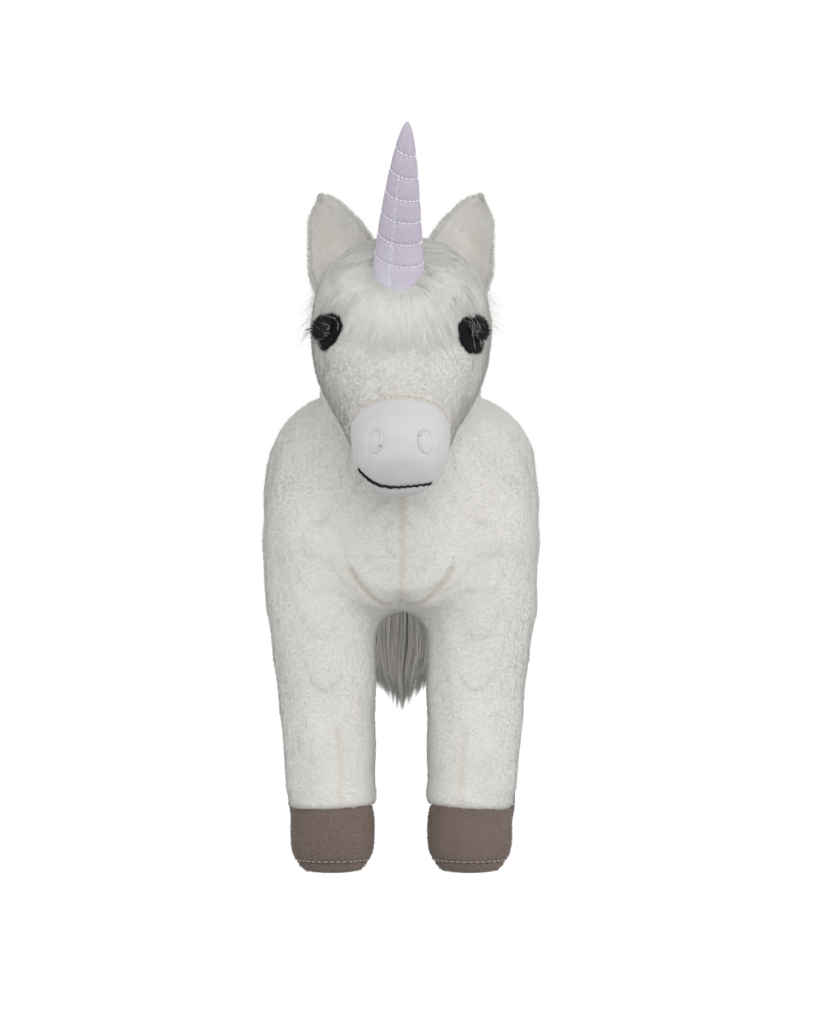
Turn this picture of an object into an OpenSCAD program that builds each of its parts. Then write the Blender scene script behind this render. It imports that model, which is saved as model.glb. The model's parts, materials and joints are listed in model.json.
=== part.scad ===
// Plush unicorn, standing. It faces -Y, its own left side is at +X, and it stands on Z = 0.
// Every stuffed part is a cover of cloth panels around a filling. All sizes are in millimetres.

/* [Body] */
// Width of the body across the shoulders
body_w = 166; // [125:1:205]
// Length of the body from chest to rump
body_len = 319; // [260:1:390]
// Depth of the body from belly to back
body_h = 143; // [115:1:175]
// Height of the belly above the floor
belly_z = 150; // [125:1:185]

/* [Head] */
// Width of the skull
skull_w = 108; // [88:1:130]
// Depth of the skull from forehead to throat
skull_h = 100; // [82:1:122]
// Length from the middle of the skull to the nose
head_len = 136; // [112:1:165]
// Width of the muzzle cap
muzzle_w = 58; // [48:1:70]
// Angle of the face below the horizontal
head_pitch = 45; // [35:1:55]
// Depth of the underside of the skull below the top of the back
head_sink = 12; // [0:1:16]
// Distance of the middle of the skull behind the chest
head_back = 14; // [0:1:16]
// Width of the neck where it enters the body
neck_w = 122; // [100:1:140]

/* [Eyes] */
// Diameter of each eye
eye_d = 14; // [10:0.5:18]
// Diameter of the stem behind each eye
eye_stem_d = 5; // [4:0.5:6]
// Diameter of the lock washer on the stem
washer_d = 17; // [14:0.5:20]
// Width of the black patch around each eye
eye_patch_w = 23; // [18:1:28]

/* [Horn] */
// Length of the horn from the forehead to the tip
horn_len = 101; // [80:1:130]
// Diameter of the horn at its base
horn_d = 30.6; // [24:0.2:38]
// Forward lean of the horn from upright
horn_lean = 30; // [20:1:40]
// Turns of the quilting thread around the horn
horn_turns = 6; // [4:1:8]

/* [Ears] */
// Width of each ear at its base
ear_w = 46; // [36:1:56]
// Height of each ear above its fold
ear_h = 28; // [22:1:36]
// Depth of the hollow in each ear
ear_cup = 5; // [3:0.5:7]
// Gap between the fold of each ear and the skull
ear_lift = 6; // [5:0.5:9]

/* [Legs] */
// Diameter of each leg at its cuff
ankle_d = 54; // [44:1:62]
// Width of each leg at the top
leg_w = 70; // [58:1:80]
// Fore and aft depth of a front leg at the top
front_leg_depth = 88; // [72:1:104]
// Fore and aft depth of a hind leg at the top
hind_leg_depth = 106; // [88:1:124]
// Distance from the middle to each front foot
front_foot_x = 41.5; // [38:0.5:56]
// Distance from the middle to each hind foot
hind_foot_x = 50; // [42:1:60]
// Distance of the front legs behind the chest
front_leg_y = 52; // [48:1:66]
// Distance of the hind feet in front of the rump
hind_leg_y = 49; // [42:1:64]

/* [Hooves] */
// Largest diameter of each hoof
hoof_d = 49; // [42:1:58]
// Height of each hoof below the cuff
hoof_h = 40; // [32:1:48]
// Diameter of the flat of each sole
sole_flat_d = 22; // [16:1:30]
// Height of the rounded edge of each hoof
hoof_edge_h = 20; // [14:1:24]
// Thickness of the stiffener board above each sole
board_t = 1.5; // [1:0.5:2.5]

/* [Tail] */
// Length of the hair below the root of the tail
tail_len = 172; // [135:1:210]
// Largest width of the hair
tail_w = 56; // [44:1:68]
// Diameter of the rolled root of the tail
tail_root_d = 16; // [12:1:20]

/* [Cloth] */
// Thickness of the plush cloth
plush_t = 2; // [1.5:0.1:3]
// Thickness of the velour and satin cloth
velour_t = 1.2; // [0.8:0.1:1.8]
// Thickness of the long pile of the forelock and mane
pile_t = 5; // [3:0.5:8]
// Diameter of the embroidery and seam threads
thread_d = 1; // [0.8:0.1:1.4]
// Clearance between pieces that lie together
gap = 0.3; // [0.2:0.05:0.5]

/* [Hidden] */
$fn = 48;

PLUSH = [0.95, 0.94, 0.91];
VELOUR = [0.97, 0.97, 0.97];
FILLING = [0.99, 0.98, 0.94];
SATIN = [0.82, 0.78, 0.86];
THREAD = [0.98, 0.97, 0.98];
HAIR = [0.90, 0.89, 0.85];
TAUPE = [0.45, 0.39, 0.35];
SOLE = [0.40, 0.34, 0.31];
PALE_THREAD = [0.80, 0.75, 0.70];
BLACK = [0.04, 0.04, 0.05];
BOARD = [0.75, 0.66, 0.50];

// Body stations: place along the body, width, underside and back, each as a share of the body's own size
BODY = [
    [0.000, 0.012, 0.38, 0.39], [0.013, 0.36, 0.15, 0.64], [0.050, 0.66, 0.06, 0.82], [0.130, 0.92, 0.01, 0.94],
    [0.230, 1.00, 0.00, 1.00], [0.380, 0.97, 0.00, 0.94], [0.570, 0.93, 0.01, 0.89], [0.760, 0.95, 0.03, 0.91],
    [0.870, 0.91, 0.09, 0.89], [0.947, 0.70, 0.19, 0.80], [0.987, 0.36, 0.35, 0.66], [1.000, 0.012, 0.50, 0.51]
];
BODY_SQUARE = 0.78;          // power of the body's section; 1 is an ellipse and less is squarer
BODY_SIDES = 32;
CHEST_ROW = 3;               // station where the chest panels meet the side panels
BELLY_COL = 4;               // half width of the belly gusset, in facets
RUMP_ROW = 10;               // station that carries the tail

// Head stations up to the muzzle seam: place along the face from the middle of the skull as a share of its
// length, then width and depth as shares of the skull's
HEAD = [
    [-0.370, 0.02, 0.02], [-0.325, 0.44, 0.44], [-0.220, 0.78, 0.76], [-0.075, 0.96, 0.96], [0.075, 1.00, 1.00],
    [0.280, 0.94, 0.91], [0.410, 0.83, 0.81], [0.590, 0.65, 0.66]
];
// Muzzle stations: place along the face, then width and depth as shares of the muzzle's
MUZZLE = [[0.720, 1.02, 1.01], [0.820, 1.00, 1.00], [0.910, 0.84, 0.86], [0.970, 0.54, 0.55], [1.000, 0.04, 0.04]];
HEAD_SQUARE = 0.9;
HEAD_SIDES = 32;
SEAM_ROW = len(HEAD);        // station of the muzzle seam
EYE_ROW = 5;
EYE_COL = 5;
NOSTRIL_ROW = 10;
NOSTRIL_COL = 3;
MOUTH_ROW = 10;
FOREHEAD_COL = 2;            // half width of the forehead gusset, in facets
FORELOCK_ROWS = [3, 6];
FORELOCK_COL = 4;
HEAD_LAST = len(HEAD) + len(MUZZLE) - 1;

// Leg stations: height from cuff to hip, then how far width and depth have grown from ankle to hip
LEG = [
    [0, 0, 0], [0.065, 0, 0], [0.42, 0.33, 0.15], [0.75, 0.85, 0.55], [1, 1, 1], [1.18, 0.80, 0.75],
    [1.35, -0.40, -0.20]
];
LEG_SIDES = 24;
HIP_DROP = 0.35;             // height of the hip above the belly as a share of the body's depth
CUFF_TUCK = 8;               // height of the hoof's edge inside the cuff
HIND_HIP_SHIFT = 12;         // the hind leg's top lies this far in front of its foot

// Tail stations: drop below the root as a share of the length, set back, half width and half depth as shares
TAIL = [
    [0.052, 0.10, 0.36, 0.28], [0.17, 0.19, 0.64, 0.39], [0.35, 0.34, 0.89, 0.50], [0.55, 0.38, 1.00, 0.54],
    [0.75, 0.36, 0.90, 0.50], [0.88, 0.32, 0.62, 0.37], [0.965, 0.29, 0.30, 0.21], [1.00, 0.27, 0.03, 0.03]
];
TAIL_SIDES = 20;
TAIL_GAP = 1;                // between the tail's root and the rump
TAIL_ROOT_L = 18;
TAIL_STUMP_D = 8;
TAIL_STUMP_L = 26;
TAIL_STUMP_Y = 3.5;          // the stump hangs this far behind the fold of the tail

NECK = [[-0.10, 1.04], [0.15, 1.00], [0.40, 0.91], [0.65, 0.83], [0.85, 0.77], [1.00, 0.72]];
NECK_SIDES = 24;
NECK_ROOT_Y = 77;            // the neck starts this far behind the chest
NECK_ROOT_Z = 0.52;          // and at this share of the body's depth

HORN_TAPER = 0.55;           // power of the horn's profile from tip to base
HORN_BURY = 16;              // the horn's straight foot, which the skull cuts to shape
HORN_SEAT = [0.09, 0.81];    // seat of the horn on the face: along it, and out from its axis
EAR_ANGLE = 45;              // place of each ear around the skull from the top
EAR_SET_BACK = 8;
EAR_TIP_SHIFT = 17.5;        // the tip leans this far towards the middle of the head
EAR_LINING_T = 1.8;
EAR_BACK_T = 2.5;
EYE_PATCH_T = 1.2;
PATCH_OVAL = 0.85;           // width of an eye patch as a share of its height
EYE_DOME = 0.32;             // height of the eye's dome as a share of its diameter
EYE_STEM_L = 9;
WASHER_T = 1.5;
WASHER_PLAY = 0.2;           // between the stem and the washer's hole, across
NOSTRIL_R = 0.09;            // radius of a nostril's ring as a share of the muzzle's width
STITCHED = [0.13, 0.87];     // the quilting thread's lowest and highest place, as shares of the horn
NECK_OVAL = [0.96, 1.02];    // width and depth of the neck's section
MANE_COL = 2;                // half width of the mane, in facets
CUT_L = 60;                  // length of a cutter that passes right through the cloth

// ---- helpers ----
function power(v, p) = sign(v) * pow(abs(v), p);
function mix(a, b, t) = a + (b - a) * t;
function unit(v) = v / norm(v);
function oval(n, a, p) = [power(sin(a * 360 / n), p), power(cos(a * 360 / n), p)];

// Outward normal of a closed grid of rings at row i and column j
function grid_normal(g, i, j) =
    let (n = len(g[0]), up = g[min(i + 1, len(g) - 1)][j], down = g[max(i - 1, 0)][j])
    unit(cross(up - down, g[i][(j + 1) % n] - g[i][(j + n - 1) % n]));
function grid_offset(g, d) =
    [for (i = [0:len(g) - 1]) [for (j = [0:len(g[0]) - 1]) g[i][j] + d * grid_normal(g, i, j)]];
// Rows i0 to i1 and columns j0 to j1 of a closed grid; columns wrap around
function grid_part(g, i0, i1, j0, j1) =
    let (n = len(g[0])) [for (i = [i0:i1]) [for (j = [j0:j1]) g[i][(j + n) % n]]];

function tri_rows(m, n, k, wrap, flip) =
    [for (i = [0:m - 2]) for (j = [0:n - (wrap ? 1 : 2)])
        let (a = k + i * n + j, b = k + i * n + (j + 1) % n, c = a + n, d = b + n)
        each flip ? [[a, d, b], [a, c, d]] : [[a, b, d], [a, d, c]]];
function wall(a, b, k) = [[b, a, a + k], [b, a + k, b + k]];

// A solid through closed rings, with flat ends
module loft(g) {
    n = len(g[0]);
    m = len(g);
    ends = [[for (j = [n - 1:-1:0]) j], [for (j = [0:n - 1]) (m - 1) * n + j]];
    polyhedron([for (r = g) each r], concat(tri_rows(m, n, 0, true, false), ends));
}

// A cloth panel between an outer and an inner grid; wrap closes it around
module panel(outer, inner, wrap = false) {
    n = len(outer[0]);
    m = len(outer);
    k = m * n;
    last = wrap ? n - 1 : n - 2;
    low = [for (j = [0:last]) each wall(j, (j + 1) % n, k)];
    high = [for (j = [0:last]) each wall((m - 1) * n + (j + 1) % n, (m - 1) * n + j, k)];
    first = wrap ? [] : [for (i = [0:m - 2]) each wall((i + 1) * n, i * n, k)];
    final = wrap ? [] : [for (i = [0:m - 2]) each wall(i * n + n - 1, (i + 1) * n + n - 1, k)];
    polyhedron(
        concat([for (r = outer) each r], [for (r = inner) each r]),
        concat(tri_rows(m, n, 0, wrap, false), tri_rows(m, n, k, wrap, true), low, high, first, final)
    );
}

// A thread of the given diameter through points
module thread(points, d) {
    sides = 6;
    last = len(points) - 1;
    rings = [for (i = [0:last])
        let (t = unit(points[min(i + 1, last)] - points[max(i - 1, 0)]),
             s = unit(cross(t, abs(t.z) < 0.9 ? [0, 0, 1] : [0, 1, 0])), u = cross(s, t))
        [for (j = [0:sides - 1]) points[i] + d / 2 * (s * cos(j * 360 / sides) - u * sin(j * 360 / sides))]];
    loft(rings);
}

// Keeps the cut faces of a soft piece together as one mesh
module soft() resize([0, 0, 0]) children();

module pointing(p, n) translate(p) rotate([0, acos(n.z), atan2(n.y, n.x)]) children();
module right_side(side) mirror([side < 0 ? 1 : 0, 0, 0]) children();

// ---- body ----
body_grid = [for (s = BODY) [for (j = [0:BODY_SIDES - 1])
    let (o = oval(BODY_SIDES, j, BODY_SQUARE), low = belly_z + body_h * s[2], high = belly_z + body_h * s[3])
    [body_w / 2 * s[1] * o.x, body_len * s[0], (low + high) / 2 - (high - low) / 2 * o.y]]];
body_inner = grid_offset(body_grid, -plush_t);
body_last = len(BODY) - 1;

module body_panel(i0, i1, j0, j1)
    color(PLUSH) panel(grid_part(body_grid, i0, i1, j0, j1), grid_part(body_inner, i0, i1, j0, j1));
module body_cut() loft(grid_offset(body_grid, gap));
module torso_cover(side) right_side(side) body_panel(CHEST_ROW, body_last, BELLY_COL, BODY_SIDES / 2);
module chest_panel(side) right_side(side) body_panel(0, CHEST_ROW, 0, BODY_SIDES / 2);
module belly_gusset() body_panel(CHEST_ROW, body_last, -BELLY_COL, BELLY_COL);
module torso_filling() color(FILLING) loft(grid_offset(body_grid, -plush_t - gap));

// ---- head ----
skull = [0, head_back, belly_z + body_h - head_sink + skull_h / 2];
face_way = [0, -cos(head_pitch), -sin(head_pitch)];
brow_way = [0, -sin(head_pitch), cos(head_pitch)];
function on_face(along, out) = skull + face_way * along + brow_way * out;
head_rows = concat(
    [for (s = HEAD) [s[0] * head_len, s[1] * skull_w / 2, s[2] * skull_h / 2]],
    [for (s = MUZZLE) [s[0] * head_len, s[1] * muzzle_w / 2, s[2] * muzzle_w / 2]]
);
head_grid = [for (r = head_rows) [for (j = [0:HEAD_SIDES - 1])
    let (o = oval(HEAD_SIDES, j, HEAD_SQUARE)) on_face(r[0], r[2] * o.y) + [r[1] * o.x, 0, 0]]];
head_inner = grid_offset(head_grid, -plush_t);

module head_cut(margin = gap) loft(grid_offset(head_grid, margin));
module head_panel(i0, i1, j0, j1)
    panel(grid_part(head_grid, i0, i1, j0, j1), grid_part(head_inner, i0, i1, j0, j1));
module head_cover(side) color(PLUSH) right_side(side) soft() difference() {
    head_panel(0, SEAM_ROW, FOREHEAD_COL, HEAD_SIDES / 2);
    eye_place() cylinder(d = eye_stem_d + 2 * gap, h = CUT_L, center = true, $fn = 16);
}
module forehead_gusset() color(PLUSH) head_panel(0, SEAM_ROW, -FOREHEAD_COL, FOREHEAD_COL);
module muzzle_cover()
    color(VELOUR) head_panel(SEAM_ROW, HEAD_LAST, -HEAD_SIDES / 4, HEAD_SIDES / 4);
module chin_panel()
    color(VELOUR) head_panel(SEAM_ROW, HEAD_LAST, HEAD_SIDES / 4, 3 * HEAD_SIDES / 4);
module head_filling() color(FILLING) soft() difference() {
    loft(grid_offset(head_grid, -plush_t - gap));
    for (side = [1, -1]) right_side(side) eye_place() translate([0, 0, -EYE_STEM_L - gap])
        cylinder(d = washer_d + 2 * gap, h = CUT_L / 2, $fn = 24);
}

// The mouth follows the seam between the muzzle cap and the chin panel
module mouth_embroidery() {
    line = grid_offset(head_grid, thread_d / 2 + gap);
    quarter = HEAD_SIDES / 4;
    left = [for (i = [MOUTH_ROW:HEAD_LAST]) line[i][quarter]];
    right = [for (i = [HEAD_LAST:-1:MOUTH_ROW]) line[i][3 * quarter]];
    color(BLACK) thread(concat(left, right), thread_d);
}
module nostril_embroidery(side) {
    p = head_grid[NOSTRIL_ROW][NOSTRIL_COL];
    n = grid_normal(head_grid, NOSTRIL_ROW, NOSTRIL_COL);
    color(VELOUR) right_side(side) pointing(p + n * (thread_d / 2 + gap), n)
        rotate_extrude() translate([muzzle_w * NOSTRIL_R, 0]) circle(d = thread_d, $fn = 16);
}

// Long pile over the forehead, open where the horn stands
module forelock() {
    low = grid_offset(head_grid, gap);
    high = grid_offset(head_grid, pile_t);
    i = FORELOCK_ROWS;
    j = FORELOCK_COL;
    color(HAIR) soft() difference() {
        panel(grid_part(high, i[0], i[1], -j, j), grid_part(low, i[0], i[1], -j, j));
        horn_place() cylinder(d = horn_d + 2 * gap, h = CUT_L, center = true);
        for (side = [1, -1]) right_side(side) eye_place() patch_outline(gap);
    }
}

// ---- eyes ----
module eye_place()
    pointing(head_grid[EYE_ROW][EYE_COL], grid_normal(head_grid, EYE_ROW, EYE_COL)) children();
module eye(side) {
    seat = EYE_PATCH_T + 2 * gap;
    dome = [for (a = [0:10:90]) [eye_d / 2 * cos(a), seat + eye_d * EYE_DOME * sin(a)]];
    color(BLACK) right_side(side) eye_place() rotate_extrude()
        polygon(concat([[0, -EYE_STEM_L], [eye_stem_d / 2, -EYE_STEM_L], [eye_stem_d / 2, seat]], dome));
}
// Oval outline of an eye patch, grown by a margin
module patch_outline(margin) scale([PATCH_OVAL, 1, 1])
    cylinder(d = eye_patch_w + 2 * margin / PATCH_OVAL, h = CUT_L / 2, center = true, $fn = 32);
module eye_patch(side) color(BLACK) right_side(side) soft() intersection() {
    low = grid_offset(head_grid, gap);
    high = grid_offset(head_grid, gap + EYE_PATCH_T);
    i = [EYE_ROW - 2, EYE_ROW + 2];
    j = [EYE_COL - 4, EYE_COL + 4];
    panel(grid_part(high, i[0], i[1], j[0], j[1]), grid_part(low, i[0], i[1], j[0], j[1]));
    eye_place() difference() {
        patch_outline(0);
        cylinder(d = eye_stem_d + 2 * gap, h = CUT_L, center = true, $fn = 16);
    }
}
module eye_washer(side) color(BOARD) right_side(side) eye_place()
    translate([0, 0, -plush_t - 6 * gap - WASHER_T]) difference() {
        cylinder(d = washer_d, h = WASHER_T);
        cylinder(d = eye_stem_d + WASHER_PLAY, h = 3 * WASHER_T, center = true);
    }

// ---- horn ----
function horn_r(up) = horn_d / 2 * pow(max(horn_len - up, 0) / horn_len, HORN_TAPER);
module horn_place() translate(on_face(HORN_SEAT[0] * head_len, HORN_SEAT[1] * skull_h / 2))
    rotate([horn_lean, 0, 0]) children();
function horn_outline(in) = concat(
    [[0, -HORN_BURY], [horn_d / 2 - in, -HORN_BURY]],
    [for (k = [0:0.1:0.9]) [horn_r(k * horn_len) - in, k * horn_len]],
    [[horn_r(0.97 * horn_len) * (in > 0 ? 0.3 : 1), (0.97 - in * 0.02) * horn_len], [0, horn_len * (1 - in * 0.03)]]
);
module horn_cover() color(SATIN) soft() difference() {
    horn_place() difference() {
        rotate_extrude($fn = 32) polygon(horn_outline(0));
        rotate_extrude($fn = 32) polygon(horn_outline(velour_t));
        translate([0, 0, -HORN_BURY - 1]) cylinder(r = horn_d / 2 - velour_t, h = 2, $fn = 32);
    }
    head_cut();
}
module horn_filling() color(FILLING) soft() difference() {
    horn_place() rotate_extrude($fn = 32) polygon(horn_outline(velour_t + gap));
    head_cut();
}
// One thread winds around the horn from near the tip to near the base, falling towards the right
module horn_stitching() {
    steps = horn_turns * 14;
    points = [for (k = [0:steps])
        let (up = horn_len * mix(STITCHED[1], STITCHED[0], k / steps), a = 180 + 360 * horn_turns * k / steps,
             r = horn_r(up) + thread_d / 2 + gap)
        [r * cos(a), r * sin(a), up]];
    color(THREAD) horn_place() thread(points, thread_d);
}

// ---- ears ----
ear_out = 1 / sqrt(pow(sin(EAR_ANGLE) / (skull_w / 2), 2) + pow(cos(EAR_ANGLE) / (skull_h / 2), 2));
ear_way = [sin(EAR_ANGLE), 0, cos(EAR_ANGLE)];
ear_fold_way = [-cos(EAR_ANGLE), 0, sin(EAR_ANGLE)];
ear_fold = skull + [0, EAR_SET_BACK, 0] + ear_way * (ear_out + ear_lift);
// Surface of an ear at the given depth behind its front face
function ear_grid(depth) = [for (t = [0:0.125:1]) [for (q = [-1:0.2:1])
    ear_fold + ear_way * ear_h * t
        + ear_fold_way * (EAR_TIP_SHIFT * t + q * (ear_w / 2 * (1 - pow(t, 1.6)) + 1))
        + [0, depth + (ear_cup * (1 - q * q) - (ear_cup + EAR_LINING_T + EAR_BACK_T) / 2), 0]]];
module ear_layer(side, front, back) right_side(side) panel(ear_grid(front), ear_grid(back));
module ear_lining(side) color(VELOUR) ear_layer(side, 0, EAR_LINING_T);
module ear_back(side) color(PLUSH) ear_layer(side, EAR_LINING_T + gap, EAR_LINING_T + gap + EAR_BACK_T);

// ---- neck ----
neck_root = [0, NECK_ROOT_Y, belly_z + NECK_ROOT_Z * body_h];
neck_way = unit(skull - neck_root);
neck_back = [0, neck_way.z, -neck_way.y];
neck_grid = [for (s = NECK) [for (j = [0:NECK_SIDES - 1])
    let (o = oval(NECK_SIDES, j, 1))
    mix(neck_root, skull, s[0]) + (neck_back * o.y * NECK_OVAL[1] + [o.x * NECK_OVAL[0], 0, 0]) * neck_w / 2 * s[1]]];
neck_inner = grid_offset(neck_grid, -plush_t);
module neck_cut() loft(grid_offset(neck_grid, gap));
module neck_cover(side) color(PLUSH) right_side(side) soft() difference() {
    last = len(NECK) - 1;
    half = NECK_SIDES / 2;
    panel(grid_part(neck_grid, 0, last, 0, half), grid_part(neck_inner, 0, last, 0, half));
    head_cut();
    body_cut();
}
module neck_filling() color(FILLING) soft() difference() {
    loft(grid_offset(neck_grid, -plush_t - gap));
    head_cut();
    body_cut();
}
// Long pile along the crest of the neck and, as a strip of its own, over the back of the head
module mane() {
    j = MANE_COL;
    last = len(NECK) - 1;
    crown = FORELOCK_ROWS[0];
    neck_low = grid_offset(neck_grid, gap);
    neck_high = grid_offset(neck_grid, pile_t);
    head_low = grid_offset(head_grid, gap);
    head_high = grid_offset(head_grid, pile_t);
    color(HAIR) soft() difference() {
        panel(grid_part(neck_high, 0, last, -j, j), grid_part(neck_low, 0, last, -j, j));
        head_cut(pile_t + gap);
        body_cut();
    }
    color(HAIR) soft() difference() {
        panel(grid_part(head_high, 1, crown, -j, j), grid_part(head_low, 1, crown, -j, j));
        neck_cut();
    }
}

// ---- legs ----
hip_z = belly_z + HIP_DROP * body_h;
front_foot = [front_foot_x, front_leg_y];
hind_foot = [hind_foot_x, body_len - hind_leg_y];
hip_x = (body_w - leg_w) / 2;
function leg_grid(foot, hip_y, depth) = [for (s = LEG) [for (j = [0:LEG_SIDES - 1])
    let (o = oval(LEG_SIDES, j, 1))
    [mix(foot.x, hip_x, s[1]) + o.x * mix(ankle_d, leg_w, s[1]) / 2,
     mix(foot.y, hip_y, s[2]) + o.y * mix(ankle_d, depth, s[2]) / 2,
     mix(hoof_h, hip_z, s[0])]]];
front_leg_grid = leg_grid(front_foot, front_leg_y, front_leg_depth);
hind_leg_grid = leg_grid(hind_foot, hind_foot.y - HIND_HIP_SHIFT, hind_leg_depth);

module leg_cover(side, g) color(PLUSH) right_side(side) soft() difference() {
    panel(g, grid_offset(g, -plush_t), wrap = true);
    body_cut();
}
// The filling of a leg runs down into its hoof and rests on the stiffener board
module leg_filling(side, g, foot) {
    leg = grid_offset(g, -plush_t - gap);
    in = velour_t + gap;
    profile = concat(
        [[sole_flat_d / 2, board_top + gap]],
        [for (a = [45, 60, 90]) hoof_point(a, in)],
        [[tuck_r - in, hoof_h], [tuck_r - in, hoof_h + CUFF_TUCK]]
    );
    hoof = [for (p = profile) [for (j = [0:LEG_SIDES - 1])
        let (o = oval(LEG_SIDES, j, 1)) [foot.x + o.x * p.x, foot.y + o.y * p.x, p.y]]];
    color(FILLING) right_side(side) soft() difference() {
        loft(concat(hoof, [for (i = [1:len(g) - 1]) leg[i]]));
        body_cut();
    }
}

// ---- hooves ----
// Side of the hoof inside the cuff, clear of the cuff's flat facets
tuck_r = (ankle_d / 2 - plush_t) * cos(180 / LEG_SIDES) - gap;
board_top = velour_t + gap + board_t;
SEAM_ANGLE = 50;             // place of the sole seam on the rounded edge
// Point of the rounded edge, a depth in from the outside
function hoof_point(a, in) = [
    sole_flat_d / 2 + ((hoof_d - sole_flat_d) / 2 - in) * sin(a),
    hoof_edge_h * (1 - cos(a)) + in * cos(a)
];
module at_foot(side, foot) right_side(side) translate([foot.x, foot.y, 0]) children();
module hoof(side, foot) {
    edge = [SEAM_ANGLE:10:90];
    outside = [for (a = edge) hoof_point(a, 0)];
    inside = [for (a = [90:-10:SEAM_ANGLE]) hoof_point(a, velour_t)];
    top = hoof_h + CUFF_TUCK;
    neck = [
        [tuck_r, hoof_h - gap], [tuck_r, top],
        [tuck_r - velour_t, top], [tuck_r - velour_t, hoof_h - gap]
    ];
    color(TAUPE) at_foot(side, foot) rotate_extrude() polygon(concat(outside, neck, inside));
}
module sole(side, foot) {
    outside = [for (a = [0:10:SEAM_ANGLE]) hoof_point(a, 0)];
    inside = [for (a = [SEAM_ANGLE:-10:0]) hoof_point(a, velour_t)];
    color(SOLE) at_foot(side, foot) rotate_extrude()
        polygon(concat([[0, 0]], outside, inside, [[0, velour_t]]));
}
module sole_board(side, foot) color(BOARD) at_foot(side, foot)
    translate([0, 0, velour_t + gap]) cylinder(r = sole_flat_d / 2 - gap, h = board_t);
// One ring of thread around each sole seam
module hoof_stitching() {
    p = hoof_point(SEAM_ANGLE, -thread_d / 2 - gap / 2);
    for (side = [1, -1], foot = [front_foot, hind_foot])
        color(PALE_THREAD) at_foot(side, foot) rotate_extrude() translate(p) circle(d = thread_d, $fn = 16);
}

// ---- tail ----
rump = body_grid[RUMP_ROW][BODY_SIDES / 2];
tail_hinge = rump + grid_normal(body_grid, RUMP_ROW, BODY_SIDES / 2) * (tail_root_d / 2 + TAIL_GAP);
tail_top = tail_root_d / 2 + gap;
tail_grid = [for (s = TAIL) [for (j = [0:TAIL_SIDES - 1])
    let (o = oval(TAIL_SIDES, j, 1), first = TAIL[0][0])
    tail_hinge + [
        tail_w / 2 * s[2] * o.x, tail_w * s[1] - tail_w / 2 * s[3] * o.y,
        -mix(tail_top, tail_len, (s[0] - first) / (1 - first))
    ]]];
module tail_root() color(PLUSH) translate(tail_hinge) {
    rotate([0, 90, 0]) cylinder(d = tail_root_d, h = TAIL_ROOT_L, center = true);
    translate([0, TAIL_STUMP_Y, -TAIL_STUMP_L]) cylinder(d = TAIL_STUMP_D, h = TAIL_STUMP_L);
}
module tail_hair() color(HAIR) soft() difference() {
    loft(tail_grid);
    translate(tail_hinge + [0, TAIL_STUMP_Y, -TAIL_STUMP_L - gap])
        cylinder(d = TAIL_STUMP_D + 2 * gap, h = TAIL_STUMP_L, $fn = 24);
}

// The origin is under the middle of the whole toy
nose_y = min([for (r = head_grid) for (p = r) p.y]);
tail_y = max([for (r = tail_grid) for (p = r) p.y]);
module centred() translate([0, -(nose_y + tail_y) / 2, 0]) children();

centred() {
    torso_cover(1);  // torso_cover_left
    torso_cover(-1);  // torso_cover_right
    chest_panel(1);  // chest_panel_left
    chest_panel(-1);  // chest_panel_right
    belly_gusset();
    torso_filling();
    neck_cover(1);  // neck_cover_left
    neck_cover(-1);  // neck_cover_right
    neck_filling();
    mane();
    head_cover(1);  // head_cover_left
    head_cover(-1);  // head_cover_right
    forehead_gusset();
    head_filling();
    forelock();
    muzzle_cover();
    chin_panel();
    mouth_embroidery();
    nostril_embroidery(1);  // nostril_embroidery_left
    nostril_embroidery(-1);  // nostril_embroidery_right
    eye(1);  // eye_left
    eye(-1);  // eye_right
    eye_patch(1);  // eye_patch_left
    eye_patch(-1);  // eye_patch_right
    eye_washer(1);  // eye_washer_left
    eye_washer(-1);  // eye_washer_right
    horn_cover();
    horn_filling();
    horn_stitching();
    ear_back(1);  // ear_back_left
    ear_back(-1);  // ear_back_right
    ear_lining(1);  // ear_lining_left
    ear_lining(-1);  // ear_lining_right
    leg_cover(1, front_leg_grid);  // front_leg_cover_left
    leg_cover(-1, front_leg_grid);  // front_leg_cover_right
    leg_cover(1, hind_leg_grid);  // hind_leg_cover_left
    leg_cover(-1, hind_leg_grid);  // hind_leg_cover_right
    leg_filling(1, front_leg_grid, front_foot);  // front_leg_filling_left
    leg_filling(-1, front_leg_grid, front_foot);  // front_leg_filling_right
    leg_filling(1, hind_leg_grid, hind_foot);  // hind_leg_filling_left
    leg_filling(-1, hind_leg_grid, hind_foot);  // hind_leg_filling_right
    hoof(1, front_foot);  // front_hoof_left
    hoof(-1, front_foot);  // front_hoof_right
    hoof(1, hind_foot);  // hind_hoof_left
    hoof(-1, hind_foot);  // hind_hoof_right
    sole(1, front_foot);  // front_sole_left
    sole(-1, front_foot);  // front_sole_right
    sole(1, hind_foot);  // hind_sole_left
    sole(-1, hind_foot);  // hind_sole_right
    sole_board(1, front_foot);  // front_sole_board_left
    sole_board(-1, front_foot);  // front_sole_board_right
    sole_board(1, hind_foot);  // hind_sole_board_left
    sole_board(-1, hind_foot);  // hind_sole_board_right
    hoof_stitching();
    tail_root();
    tail_hair();
}
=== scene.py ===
import json
import math

import bmesh
import bpy
import numpy as np
from mathutils import Matrix, Vector
from mathutils.bvhtree import BVHTree


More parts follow.
